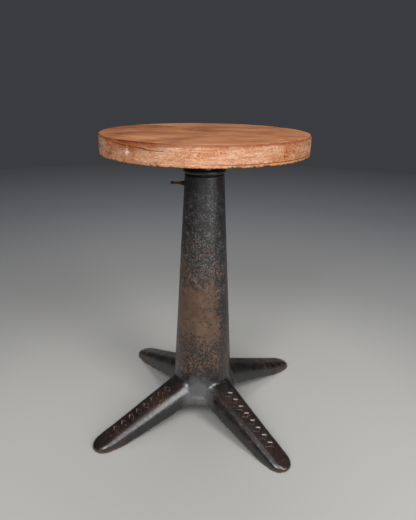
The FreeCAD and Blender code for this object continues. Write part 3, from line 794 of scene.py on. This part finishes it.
draw_out(NOSE - NOSE_LENGTH, NOSE_RADIUS)
draw_out(NOSE - NOSE_LENGTH - 0.0001, 0.0032)
turn = NOSE - 0.0024
while turn - THREAD_PITCH > THREAD_END:
    draw_out(turn, THREAD_RADIUS)
    draw_out(turn - THREAD_PITCH * 0.25, THREAD_RADIUS)
    draw_out(turn - THREAD_PITCH * 0.60, THREAD_RADIUS - THREAD_DEPTH)
    turn -= THREAD_PITCH
for distance, radius in ((THREAD_END, 0.0034), (-0.0390, 0.0031), (-0.0430, 0.0021)):
    draw_out(distance, radius)
draw_out(-0.0475, 0.0018)
draw_out(-0.0500, 0.0019, flatten=0.97, widen=1.06)
draw_out(-0.0522, 0.0023, flatten=0.97, widen=1.06)
for distance, radius in ((-0.0540, 0.0025), (-0.0556, 0.0025)):
    draw_out(distance, radius)
draw_out(TIP + 0.0005, 0.0022)
draw_out(TIP, 0.0015)
bpy.ops.mesh.select_all(action="SELECT")
bpy.ops.mesh.normals_make_consistent(inside=False)
bpy.ops.object.mode_set(mode="OBJECT")
bpy.ops.object.shade_smooth_by_angle(angle=math.radians(42))
roughen(clamp_screw, height=0.00008, grain=0.003, seed=7.7)
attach(clamp_screw, "clamp_screw")
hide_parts("clamp_screw")

rusty = new_material("rusted mild steel")
where = add(rusty, "TexCoord").outputs["Object"]
crust = add(rusty, "TexNoise", {"Vector": where, "Scale": 420, "Detail": 5, "Roughness": 0.7})
cloud = add(rusty, "TexNoise", {"Vector": where, "Scale": 110, "Detail": 3, "Roughness": 0.6})
tone = add(
    rusty,
    "ValToRGB",
    {"Fac": crust},
    stops=[(0.30, "#24120b"), (0.50, "#4b2614"), (0.66, "#7a4326"), (0.8, "#94664a")],
)
tone = add(
    rusty,
    "Mix",
    {0: add(rusty, "Math", [cloud, 0.5], operation="MULTIPLY"), 6: tone, 7: "#2b1d18"},
    data_type="RGBA",
)
bump = add(rusty, "Bump", {"Height": crust, "Strength": 0.6, "Distance": 0.0004})
rough = add(rusty, "ValToRGB", {"Fac": crust}, stops=[(0.3, 0.85), (0.7, 0.55)])
surface = add(
    rusty,
    "BsdfPrincipled",
    {"Base Color": tone, "Roughness": rough, "Metallic": 0.35, "Normal": bump},
)
add(rusty, "OutputMaterial", [surface])
clamp_screw.data.materials.append(rusty)
paint_node("seat_screws", rusty)

# --- post, collars, washers, nut --------------------------------------------------------------
# Bright turned steel bar with its pinned collars, kept from rusting by the oil it slides in.
# A grey, slightly brown sheen with fine rings from the lathe.

steel = new_material("oiled turned steel")
where = add(steel, "TexCoord").outputs["Object"]
# Feed marks 0.3 mm apart, drawn 1 mm apart so that they show.
lathe = add(
    steel,
    "TexWave",
    {"Vector": where, "Scale": 310, "Distortion": 0.6, "Detail": 1.0},
    wave_type="BANDS",
    bands_direction="Z",
).outputs["Fac"]
stain = add(steel, "TexNoise", {"Vector": where, "Scale": 60, "Detail": 5, "Roughness": 0.6})
tone = add(
    steel,
    "ValToRGB",
    {"Fac": stain},
    stops=[(0.30, "#4f4a44"), (0.50, "#8a8782"), (0.75, "#a9a8a6")],
)
bump = add(steel, "Bump", {"Height": lathe, "Strength": 0.15, "Distance": 0.0001})
rough = add(steel, "ValToRGB", {"Fac": stain}, stops=[(0.3, 0.48), (0.7, 0.28)])
surface = add(
    steel,
    "BsdfPrincipled",
    {"Base Color": tone, "Roughness": rough, "Metallic": 1.0, "Normal": bump},
)
add(steel, "OutputMaterial", [surface])
for name in (
    "post",
    "stop_collar",
    "stop_collar_pin",
    "rest_collar",
    "rest_collar_pin",
    "top_washer",
    "castle_nut",
    "split_pin",
):
    paint_node(name, steel)

# --- seat plate -------------------------------------------------------------------------------
# Small grey iron casting, a disc on a hub, black like the pedestal and screwed under the board.
# Cast, bored for the bush and drilled and countersunk for six screws.

plate = copy_of_node("seat_plate", "seat_plate_casting")
soften(plate, voxel=0.0009, passes=5)
roughen(plate, height=0.00012, grain=0.014, seed=5.3)
plate.data.materials.append(enamel)
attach(plate, "seat")
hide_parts("seat_plate")

# --- seat board -------------------------------------------------------------------------------
# Round board glued up from layers, its edge sawn and turned and then knocked about for decades.
# The varnished top has gone a red brown; the bare edge is a paler tan, chipped along the bottom.

SEAT_RADIUS = 0.1675
EDGE_RADIUS = SEAT_RADIUS - 0.0002
SEAT_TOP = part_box("seat_top")[1][2]
SEAT_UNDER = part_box("seat_veneer")[0][2]
THICKNESS = SEAT_TOP - SEAT_UNDER
UNDER_BEVEL = 0.0006
TOP_ROUND = 0.0026
RECESS_RADIUS = 0.024
RECESS_TOP = SEAT_TOP - 0.008
AROUND = 480
UNDER_RINGS = 8
EDGE_RINGS = 24
TOP_RINGS = 40

under_width = SEAT_RADIUS - 0.0012 - RECESS_RADIUS
board_section = [(RECESS_RADIUS, SEAT_UNDER)]
for i in range(1, UNDER_RINGS + 1):
    board_section.append((RECESS_RADIUS + under_width * i / UNDER_RINGS, SEAT_UNDER))
board_section.append((SEAT_RADIUS - 0.0004, SEAT_UNDER + UNDER_BEVEL))
for i in range(1, EDGE_RINGS + 1):
    rise = (THICKNESS - UNDER_BEVEL - TOP_ROUND) * i / EDGE_RINGS
    board_section.append((EDGE_RADIUS, SEAT_UNDER + UNDER_BEVEL + rise))
for degrees in (22, 45, 68, 90):
    turn = math.radians(degrees)
    board_section.append(
        (
            EDGE_RADIUS - TOP_ROUND * (1 - math.cos(turn)),
            SEAT_TOP - TOP_ROUND * (1 - math.sin(turn)),
        )
    )
for i in range(1, TOP_RINGS + 1):
    radius = (EDGE_RADIUS - TOP_ROUND) * (1 - i / TOP_RINGS)
    board_section.append((max(0.0, radius), SEAT_TOP))
# Up from the underside, the wall and the roof of the recess over the nut.
board_section = [(0.0, RECESS_TOP), (RECESS_RADIUS, RECESS_TOP)] + board_section

board = turned("seat_board", board_section, AROUND, closed=False)
bpy.ops.object.shade_smooth_by_angle(angle=math.radians(60))


# The top layer has split off along the front left of the rim, between these two bearings
# from the -Y axis towards +X, and the split runs lower towards its right end.
FLAKE_START = math.radians(-43)
FLAKE_END = math.radians(-8)
# The split's height at its left end, and how far it has fallen at the right, in board thicknesses.
SPLIT_HEIGHT = 0.86
SPLIT_FALL = 0.26
FLAKE_THICKNESS = 0.0046
SAW_MARK = 0.00030
CHIP = 0.0024
KNOCK = 0.0016
WARP = 0.00018


def clamp(value):
    return min(1.0, max(0.0, value))


def flake_depth(bearing, up):
    """How much of the top layer is gone: 0 for none, 1 for a whole flake."""
    along = (bearing - FLAKE_START) / (FLAKE_END - FLAKE_START)
    if not 0 < along < 1:
        return 0.0
    ends = clamp(along / 0.10) * clamp((1 - along) / 0.22)
    lower = SPLIT_HEIGHT - SPLIT_FALL * along + 0.05 * noise.noise(Vector((along * 9, 0.0, 3.0)))
    return ends * clamp((up - lower) / 0.05) * clamp((1.06 - up) / 0.12)


def wear(thing):
    """Dents and chips the edge of the board, and leaves the top very slightly uneven."""
    for vertex in thing.data.vertices:
        place = vertex.co
        radius = math.hypot(place.x, place.y)
        if radius < RECESS_RADIUS + 0.001:
            continue
        out = Vector((place.x, place.y, 0)).normalized()
        up = (place.z - SEAT_UNDER) / THICKNESS
        at_edge = clamp((radius - SEAT_RADIUS + 0.006) / 0.005)
        # Saw marks and long hollows round the edge, deeper than they are tall.
        long_wave = noise.noise(Vector((place.x / 0.030, place.y / 0.030, place.z / 0.006)))
        ripple = noise.noise(Vector((place.x / 0.007, place.y / 0.007, place.z / 0.0022)))
        inward = SAW_MARK * (1 + long_wave) + SAW_MARK * (1 + ripple)
        # Chips are bitten out of the bottom corner.
        bite = noise.noise(place / 0.0085 + Vector((4.1, 0.3, 8.8)))
        bite += 0.7 * noise.noise(place / 0.0032 + Vector((1.2, 7.3, 2.8)))
        low = clamp(1 - up / 0.20)
        inward += CHIP * max(0, bite - 0.02) * low
        # The top corner is rounded off unevenly by use.
        knock = noise.noise(place / 0.014 + Vector((9.4, 2.2, 0.7)))
        inward += KNOCK * max(0, knock + 0.1) * clamp((up - 0.84) / 0.16)
        flake = flake_depth(math.atan2(place.x, -place.y), up)
        layers = 0.6 + 0.4 * noise.noise(Vector((place.x / 0.05, place.y / 0.05, up * 14)))
        inward += FLAKE_THICKNESS * flake * layers
        vertex.co -= out * inward * at_edge
        if up > 0.97:
            vertex.co.z -= WARP * (1 + noise.noise(place / 0.045))
            vertex.co.z -= 0.0010 * flake * at_edge
        if up < 0.03:
            vertex.co.z += 0.0009 * max(0, bite) * at_edge
    thing.data.update()


wear(board)
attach(board, "seat")
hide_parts("seat_top", "seat_core", "seat_veneer")

# Old varnished elm: orange brown with darker growth streaks along the grain on top, paler on the
# edge where the varnish has gone, with grain lines round it, scuffs and dark dirt in the chips.
timber = new_material("worn varnished elm")
where = add(timber, "TexCoord").outputs["Object"]
split = add(timber, "SeparateXYZ", {"Vector": where})
height = split.outputs["Z"]
GRAIN_TURN = math.radians(-8)


def along_grain(squeeze):
    """The place with the cross-grain directions squeezed, so that a pattern runs with the grain."""
    turn = {"Vector": where, "Rotation": (0, 0, GRAIN_TURN), "Scale": (1.0, squeeze, squeeze)}
    return add(timber, "Mapping", turn)


# Growth streaks some 15 mm apart that wander, fibres of 2 mm and open pores of 1 mm.
swirl = add(
    timber,
    "TexNoise",
    {"Vector": along_grain(3.0), "Scale": 8.0, "Detail": 4, "Roughness": 0.6, "Distortion": 1.2},
)
drift = add(timber, "TexNoise", {"Vector": where, "Scale": 5.0, "Detail": 1.0})
drift = add(
    timber,
    "VectorMath",
    {0: drift.outputs["Color"], 1: (0.0, 0.35, 0.0), 2: along_grain(5.0)},
    operation="MULTIPLY_ADD",
)
growth = add(
    timber,
    "TexWave",
    {
        "Vector": drift,
        "Scale": 4.2,
        "Distortion": 6.0,
        "Detail": 3.0,
        "Detail Scale": 1.1,
        "Detail Roughness": 0.6,
    },
    wave_type="BANDS",
    bands_direction="Y",
).outputs["Fac"]
fibre = add(
    timber,
    "TexNoise",
    {"Vector": along_grain(9.0), "Scale": 46, "Detail": 5, "Roughness": 0.7, "Distortion": 0.5},
)
pores = add(
    timber,
    "TexNoise",
    {"Vector": along_grain(14.0), "Scale": 120, "Detail": 3, "Roughness": 0.7},
)
top_tone = add(
    timber,
    "ValToRGB",
    {"Fac": swirl},
    stops=[(0.28, "#995c38"), (0.44, "#b07149"), (0.56, "#bb7e52"), (0.72, "#c99267")],
)
growth_tone = add(
    timber,
    "ValToRGB",
    {"Fac": growth},
    stops=[(0.05, "#b8937a"), (0.40, "#eee2d6"), (0.95, "#ffffff")],
)
top_tone = add(
    timber,
    "Mix",
    {0: 0.32, 6: top_tone, 7: growth_tone},
    data_type="RGBA",
    blend_type="MULTIPLY",
)
# Use has left the varnish in clouds some 60 mm across: dark where it stays, pale where it is gone.
varnish = add(
    timber,
    "TexNoise",
    {"Vector": where, "Scale": 10, "Detail": 5, "Roughness": 0.62, "Distortion": 0.5},
)
varnish_tone = add(
    timber,
    "ValToRGB",
    {"Fac": varnish},
    stops=[(0.34, "#b58767"), (0.52, "#ffffff")],
)
top_tone = add(
    timber,
    "Mix",
    {0: 0.70, 6: top_tone, 7: varnish_tone},
    data_type="RGBA",
    blend_type="MULTIPLY",
)
top_tone = add(
    timber,
    "Mix",
    {
        0: add(timber, "ValToRGB", {"Fac": varnish}, stops=[(0.54, 0.0), (0.68, 0.45)]),
        6: top_tone,
        7: "#c9925f",
    },
    data_type="RGBA",
)
fibre_tone = add(timber, "ValToRGB", {"Fac": fibre}, stops=[(0.34, "#a08a74"), (0.62, "#ffffff")])
top_tone = add(
    timber,
    "Mix",
    {0: 0.50, 6: top_tone, 7: fibre_tone},
    data_type="RGBA",
    blend_type="MULTIPLY",
)
pore_mask = add(timber, "ValToRGB", {"Fac": pores}, stops=[(0.56, 0.0), (0.72, 0.55)])
top_tone = add(timber, "Mix", {0: pore_mask, 6: top_tone, 7: "#6e3c20"}, data_type="RGBA")
light_lines = add(timber, "ValToRGB", {"Fac": fibre}, stops=[(0.62, 0.0), (0.74, 0.5)])
top_tone = add(timber, "Mix", {0: light_lines, 6: top_tone, 7: "#cd9a6c"}, data_type="RGBA")

# The edge: streaks that run round the board, so the noise is squeezed in height only.
round_edge = {"Vector": where, "Scale": (1.0, 1.0, 8.0)}
edge_place = add(timber, "Mapping", round_edge)
edge_grain = add(
    timber,
    "TexNoise",
    {"Vector": edge_place, "Scale": 30, "Detail": 5, "Roughness": 0.65, "Distortion": 0.8},
)
edge_fine = add(
    timber,
    "TexNoise",
    {"Vector": edge_place, "Scale": 190, "Detail": 4, "Roughness": 0.7},
)
edge_patch = add(
    timber,
    "TexNoise",
    {"Vector": where, "Scale": 17, "Detail": 4, "Roughness": 0.6, "Distortion": 0.6},
)
crumbs = add(timber, "TexNoise", {"Vector": where, "Scale": 330, "Detail": 3, "Roughness": 0.65})
edge_tone = add(
    timber,
    "ValToRGB",
    {"Fac": edge_grain},
    stops=[(0.30, "#9f6b4e"), (0.44, "#c08c6e"), (0.56, "#cc9f80"), (0.72, "#dfb99b")],
)
fine_tone = add(
    timber,
    "ValToRGB",
    {"Fac": edge_fine},
    stops=[(0.34, "#a08c80"), (0.58, "#ffffff")],
)
edge_tone = add(
    timber,
    "Mix",
    {0: 0.70, 6: edge_tone, 7: fine_tone},
    data_type="RGBA",
    blend_type="MULTIPLY",
)
varnish_left = add(timber, "ValToRGB", {"Fac": edge_patch}, stops=[(0.48, 0.0), (0.64, 0.75)])
edge_tone = add(timber, "Mix", {0: varnish_left, 6: edge_tone, 7: "#a15a2c"}, data_type="RGBA")
# Where varnish is left it has crazed into dark and orange crumbs.
crazed = add(timber, "Math", [crumbs, 9.0, -4.9], operation="MULTIPLY_ADD", use_clamp=True)
at_ends = add(
    timber,
    "Math",
    [add(timber, "Math", [split.outputs["X"]], operation="ABSOLUTE"), 14.0, -1.35],
    operation="MULTIPLY_ADD",
    use_clamp=True,
)
crazing = add(
    timber,
    "Math",
    [varnish_left, add(timber, "Math", [at_ends, 0.55, 0.24], operation="MULTIPLY_ADD")],
    operation="ADD",
)
crazed = add(timber, "Math", [crazed, crazing], operation="MULTIPLY", use_clamp=True)
edge_tone = add(timber, "Mix", {0: crazed, 6: edge_tone, 7: "#6a3a20"}, data_type="RGBA")
bright_crumbs = add(timber, "Math", [crumbs, -10.0, 4.1], operation="MULTIPLY_ADD", use_clamp=True)
edge_tone = add(
    timber,
    "Mix",
    {
        0: add(timber, "Math", [bright_crumbs, 0.6], operation="MULTIPLY"),
        6: edge_tone,
        7: "#e0a06a",
    },
    data_type="RGBA",
)

# How far a point is from the top face and from the bottom face.
below_top = add(timber, "Math", [SEAT_TOP, height], operation="SUBTRACT")
above_under = add(timber, "Math", [height, SEAT_UNDER], operation="SUBTRACT")
rim = add(timber, "Math", [below_top, -290.0, 1.60], operation="MULTIPLY_ADD")
rim = add(
    timber,
    "Math",
    [rim, add(timber, "Math", [edge_patch, 2.0, -1.0], operation="MULTIPLY_ADD")],
    operation="ADD",
    use_clamp=True,
)
edge_tone = add(
    timber,
    "Mix",
    {0: add(timber, "Math", [rim, 0.8], operation="MULTIPLY"), 6: edge_tone, 7: "#743a1e"},
    data_type="RGBA",
)
# Dark dirt and orange raw wood along the chipped bottom.
bottom = add(timber, "Math", [above_under, -260.0, 1.15], operation="MULTIPLY_ADD")
raw = add(
    timber,
    "Math",
    [bottom, add(timber, "Math", [edge_patch, 5.0, -2.4], operation="MULTIPLY_ADD")],
    operation="ADD",
    use_clamp=True,
)
edge_tone = add(
    timber,
    "Mix",
    {0: add(timber, "Math", [raw, 0.6], operation="MULTIPLY"), 6: edge_tone, 7: "#c4813f"},
    data_type="RGBA",
)
chip = add(
    timber,
    "Math",
    [bottom, add(timber, "Math", [crumbs, 7.0, -4.3], operation="MULTIPLY_ADD")],
    operation="ADD",
    use_clamp=True,
)
edge_tone = add(
    timber,
    "Mix",
    {0: add(timber, "Math", [chip, 0.9], operation="MULTIPLY"), 6: edge_tone, 7: "#2e190e"},
    data_type="RGBA",
)
# The glue line of the bottom layer has opened on the right, 4.5 mm up.
GLUE_LINE = 0.0045
from_line = add(
    timber,
    "Math",
    [add(timber, "Math", [above_under, GLUE_LINE], operation="SUBTRACT")],
    operation="ABSOLUTE",
)
gap = add(timber, "Math", [from_line, -1600.0, 1.3], operation="MULTIPLY_ADD")
gap = add(
    timber,
    "Math",
    [gap, add(timber, "Math", [edge_fine, 2.0, -1.0], operation="MULTIPLY_ADD")],
    operation="ADD",
    use_clamp=True,
)
on_right = add(
    timber,
    "Math",
    [split.outputs["X"], 18.0, -0.3],
    operation="MULTIPLY_ADD",
    use_clamp=True,
)
edge_tone = add(
    timber,
    "Mix",
    {0: add(timber, "Math", [gap, on_right], operation="MULTIPLY"), 6: edge_tone, 7: "#472413"},
    data_type="RGBA",
)
# Layers bared where the rim has split off, on the front left.
FLAKE_MIDDLE = (-0.0760, -0.1493, SEAT_TOP - 0.0045)
to_flake = add(timber, "VectorMath", {0: where, 1: FLAKE_MIDDLE}, operation="DISTANCE")
bared = add(timber, "Math", [to_flake, -24.0, 2.15], operation="MULTIPLY_ADD")
bared = add(
    timber,
    "Math",
    [bared, add(timber, "Math", [below_top, 105.0], operation="MULTIPLY")],
    operation="SUBTRACT",
)
bared = add(
    timber,
    "Math",
    [bared, add(timber, "Math", [edge_fine, 3.0, -1.6], operation="MULTIPLY_ADD")],
    operation="ADD",
    use_clamp=True,
)
edge_tone = add(
    timber,
    "Mix",
    {0: add(timber, "Math", [bared, 0.8], operation="MULTIPLY"), 6: edge_tone, 7: "#7c4120"},
    data_type="RGBA",
)
# A dark crack follows the bottom of the split.
bearing = add(
    timber,
    "Math",
    [split.outputs["X"], add(timber, "Math", [split.outputs["Y"], -1], operation="MULTIPLY")],
    operation="ARCTAN2",
)
flake_turn = FLAKE_END - FLAKE_START
along = add(
    timber,
    "Math",
    [bearing, 1 / flake_turn, -FLAKE_START / flake_turn],
    operation="MULTIPLY_ADD",
)
crack_rise = add(
    timber,
    "Math",
    [along, -SPLIT_FALL * THICKNESS, SPLIT_HEIGHT * THICKNESS],
    operation="MULTIPLY_ADD",
)
crack_wave = add(timber, "Math", [edge_grain, 0.006, -0.003], operation="MULTIPLY_ADD")
from_crack = add(
    timber,
    "Math",
    [above_under, add(timber, "Math", [crack_rise, crack_wave], operation="ADD")],
    operation="SUBTRACT",
)
crack = add(
    timber,
    "Math",
    [add(timber, "Math", [from_crack], operation="ABSOLUTE"), -1100.0, 1.25],
    operation="MULTIPLY_ADD",
)
crack = add(
    timber,
    "Math",
    [crack, add(timber, "Math", [edge_fine, 1.6, -0.8], operation="MULTIPLY_ADD")],
    operation="ADD",
    use_clamp=True,
)
from_middle = add(timber, "Math", [along, 0.5], operation="SUBTRACT")
from_middle = add(timber, "Math", [from_middle], operation="ABSOLUTE")
inside_ends = add(timber, "Math", [from_middle, -9.0], operation="MULTIPLY")
inside_ends = add(timber, "Math", [inside_ends, 4.6], operation="ADD", use_clamp=True)
crack = add(timber, "Math", [crack, inside_ends], operation="MULTIPLY")
edge_tone = add(
    timber,
    "Mix",
    {0: add(timber, "Math", [crack, 0.85], operation="MULTIPLY"), 6: edge_tone, 7: "#41200f"},
    data_type="RGBA",
)
# A pale scuff, where something hard has rubbed.
SCUFF = (-0.0863, -0.1436, SEAT_UNDER + 0.0150)
to_scuff = add(timber, "VectorMath", {0: where, 1: SCUFF}, operation="DISTANCE")
scuff = add(timber, "Math", [to_scuff, -150.0, 0.9], operation="MULTIPLY_ADD")
scuff = add(
    timber,
    "Math",
    [scuff, add(timber, "Math", [crumbs, 5.0, -2.6], operation="MULTIPLY_ADD")],
    operation="ADD",
    use_clamp=True,
)
edge_tone = add(
    timber,
    "Mix",
    {0: add(timber, "Math", [scuff, 0.8], operation="MULTIPLY"), 6: edge_tone, 7: "#efdccb"},
    data_type="RGBA",
)

facing_up = add(
    timber,
    "SeparateXYZ",
    {"Vector": add(timber, "NewGeometry").outputs["Normal"]},
).outputs["Z"]
is_top = add(timber, "Math", [facing_up, 6.0, -4.6], operation="MULTIPLY_ADD", use_clamp=True)
tone = add(timber, "Mix", {0: is_top, 6: edge_tone, 7: top_tone}, data_type="RGBA")
is_under = add(timber, "Math", [facing_up, -4.0, -2.2], operation="MULTIPLY_ADD", use_clamp=True)
tone = add(timber, "Mix", {0: is_under, 6: tone, 7: "#7b5136"}, data_type="RGBA")

top_rough = add(timber, "ValToRGB", {"Fac": swirl}, stops=[(0.3, 0.42), (0.7, 0.55)])
rough = add(timber, "Mix", {0: is_top, 6: "#b5b5b5", 7: top_rough}, data_type="RGBA")
bump = add(timber, "Bump", {"Height": fibre, "Strength": 0.2, "Distance": 0.0004})
bump = add(
    timber,
    "Bump",
    {"Height": edge_fine, "Strength": 0.35, "Distance": 0.0006, "Normal": bump},
)
bump = add(timber, "Bump", {"Height": crumbs, "Strength": 0.3, "Distance": 0.0005, "Normal": bump})
surface = add(
    timber,
    "BsdfPrincipled",
    {"Base Color": tone, "Roughness": rough, "Metallic": 0.0, "Normal": bump},
)
surface.inputs["Specular IOR Level"].default_value = 0.2
add(timber, "OutputMaterial", [surface])
board.data.materials.append(timber)

# --- studio -----------------------------------------------------------------------------------
# Plain pale floor with a painted falloff: its colour darkens to grey away from the stool, standing
# in for light that fades. Large soft lights stand in front and on the right, with two weak ones
# overhead and behind.

FLOOR_RADIUS = 2.9
bpy.ops.mesh.primitive_circle_add(vertices=128, radius=FLOOR_RADIUS, fill_type="NGON")
floor = bpy.context.object
floor.name = floor.data.name = "floor"
paper = new_material("matt pale floor with painted falloff")
where = add(paper, "TexCoord").outputs["Object"]
away = add(paper, "VectorMath", {0: where}, operation="LENGTH")
# Painted falloff: the floor colour goes from pale to grey with distance from the middle, in place
# of fading light.
painted_floor_falloff = add(
    paper,
    "ValToRGB",
    {"Fac": add(paper, "Math", [away, 0.5], operation="MULTIPLY")},
    stops=[(0.20, "#abaaa7"), (0.36, "#9a9998"), (0.80, "#8a8c90")],
)
surface = add(paper, "BsdfPrincipled", {"Base Color": painted_floor_falloff, "Roughness": 0.9})
add(paper, "OutputMaterial", [surface])
floor.data.materials.append(paper)

world = bpy.data.worlds.new("studio")
bpy.context.scene.world = world
world.use_nodes = True
world.node_tree.nodes["Background"].inputs["Color"].default_value = linear("#3a3c40")
world.node_tree.nodes["Background"].inputs["Strength"].default_value = 1.0


AIM = Vector((0, 0, 0.3))


def soft_box(name, turn, rise, distance, width, tall, power):
    """A soft box facing the stool, turned from the -Y axis towards +X and raised, in degrees."""
    lamp = bpy.data.lights.new(name, "AREA")
    lamp.shape = "RECTANGLE"
    lamp.size = width
    lamp.size_y = tall
    lamp.energy = power
    made = bpy.data.objects.new(name, lamp)
    bpy.context.collection.objects.link(made)
    across, up = math.radians(turn), math.radians(rise)
    towards = Vector(
        (math.sin(across) * math.cos(up), -math.cos(across) * math.cos(up), math.sin(up))
    )
    made.location = AIM + towards * distance
    made.rotation_mode = "QUATERNION"
    made.rotation_quaternion = (-towards).to_track_quat("-Z", "Y")
    made.visible_camera = False
    return made


soft_box("front_light", turn=-6, rise=34, distance=2.0, width=1.2, tall=1.2, power=33)
soft_box("window_light", turn=47, rise=30, distance=1.8, width=0.75, tall=1.7, power=27)
soft_box("top_light", turn=20, rise=82, distance=2.2, width=1.2, tall=1.2, power=5)
soft_box("back_light", turn=186, rise=62, distance=2.0, width=0.9, tall=0.9, power=11)

bpy.context.scene.view_settings.view_transform = "Standard"

# Camera: a little above the seat, looking down about twenty degrees.
VIEW_TURN = math.radians(7.55)
CAMERA_DISTANCE = 0.79497
CAMERA_HEIGHT = 0.58824
PAN = 0.00454
PITCH = 0.35447
ROLL = 0.0135
SIDE_STEP = 0.003826
LENS = 33.5754

camera_data = bpy.data.cameras.new("camera")
camera = bpy.data.objects.new("camera", camera_data)
bpy.context.collection.objects.link(camera)
bpy.context.scene.camera = camera
camera_data.sensor_width = 36
camera_data.lens = LENS
camera_data.clip_start = 0.02
camera_data.clip_end = 50
right = Vector((math.cos(PAN), -math.sin(PAN), 0))
forward = Vector(
    (
        math.sin(PAN) * math.cos(PITCH),
        math.cos(PAN) * math.cos(PITCH),
        -math.sin(PITCH),
    )
)
up = right.cross(forward)
rolled_right = math.cos(ROLL) * right + math.sin(ROLL) * up
rolled_up = math.cos(ROLL) * up - math.sin(ROLL) * right
turn = Matrix((rolled_right, rolled_up, -forward)).transposed().to_4x4()
place = Matrix.Translation((SIDE_STEP, -CAMERA_DISTANCE, CAMERA_HEIGHT))
camera.matrix_world = Matrix.Rotation(VIEW_TURN, 4, "Z") @ place @ turn

bpy.context.view_layer.update()
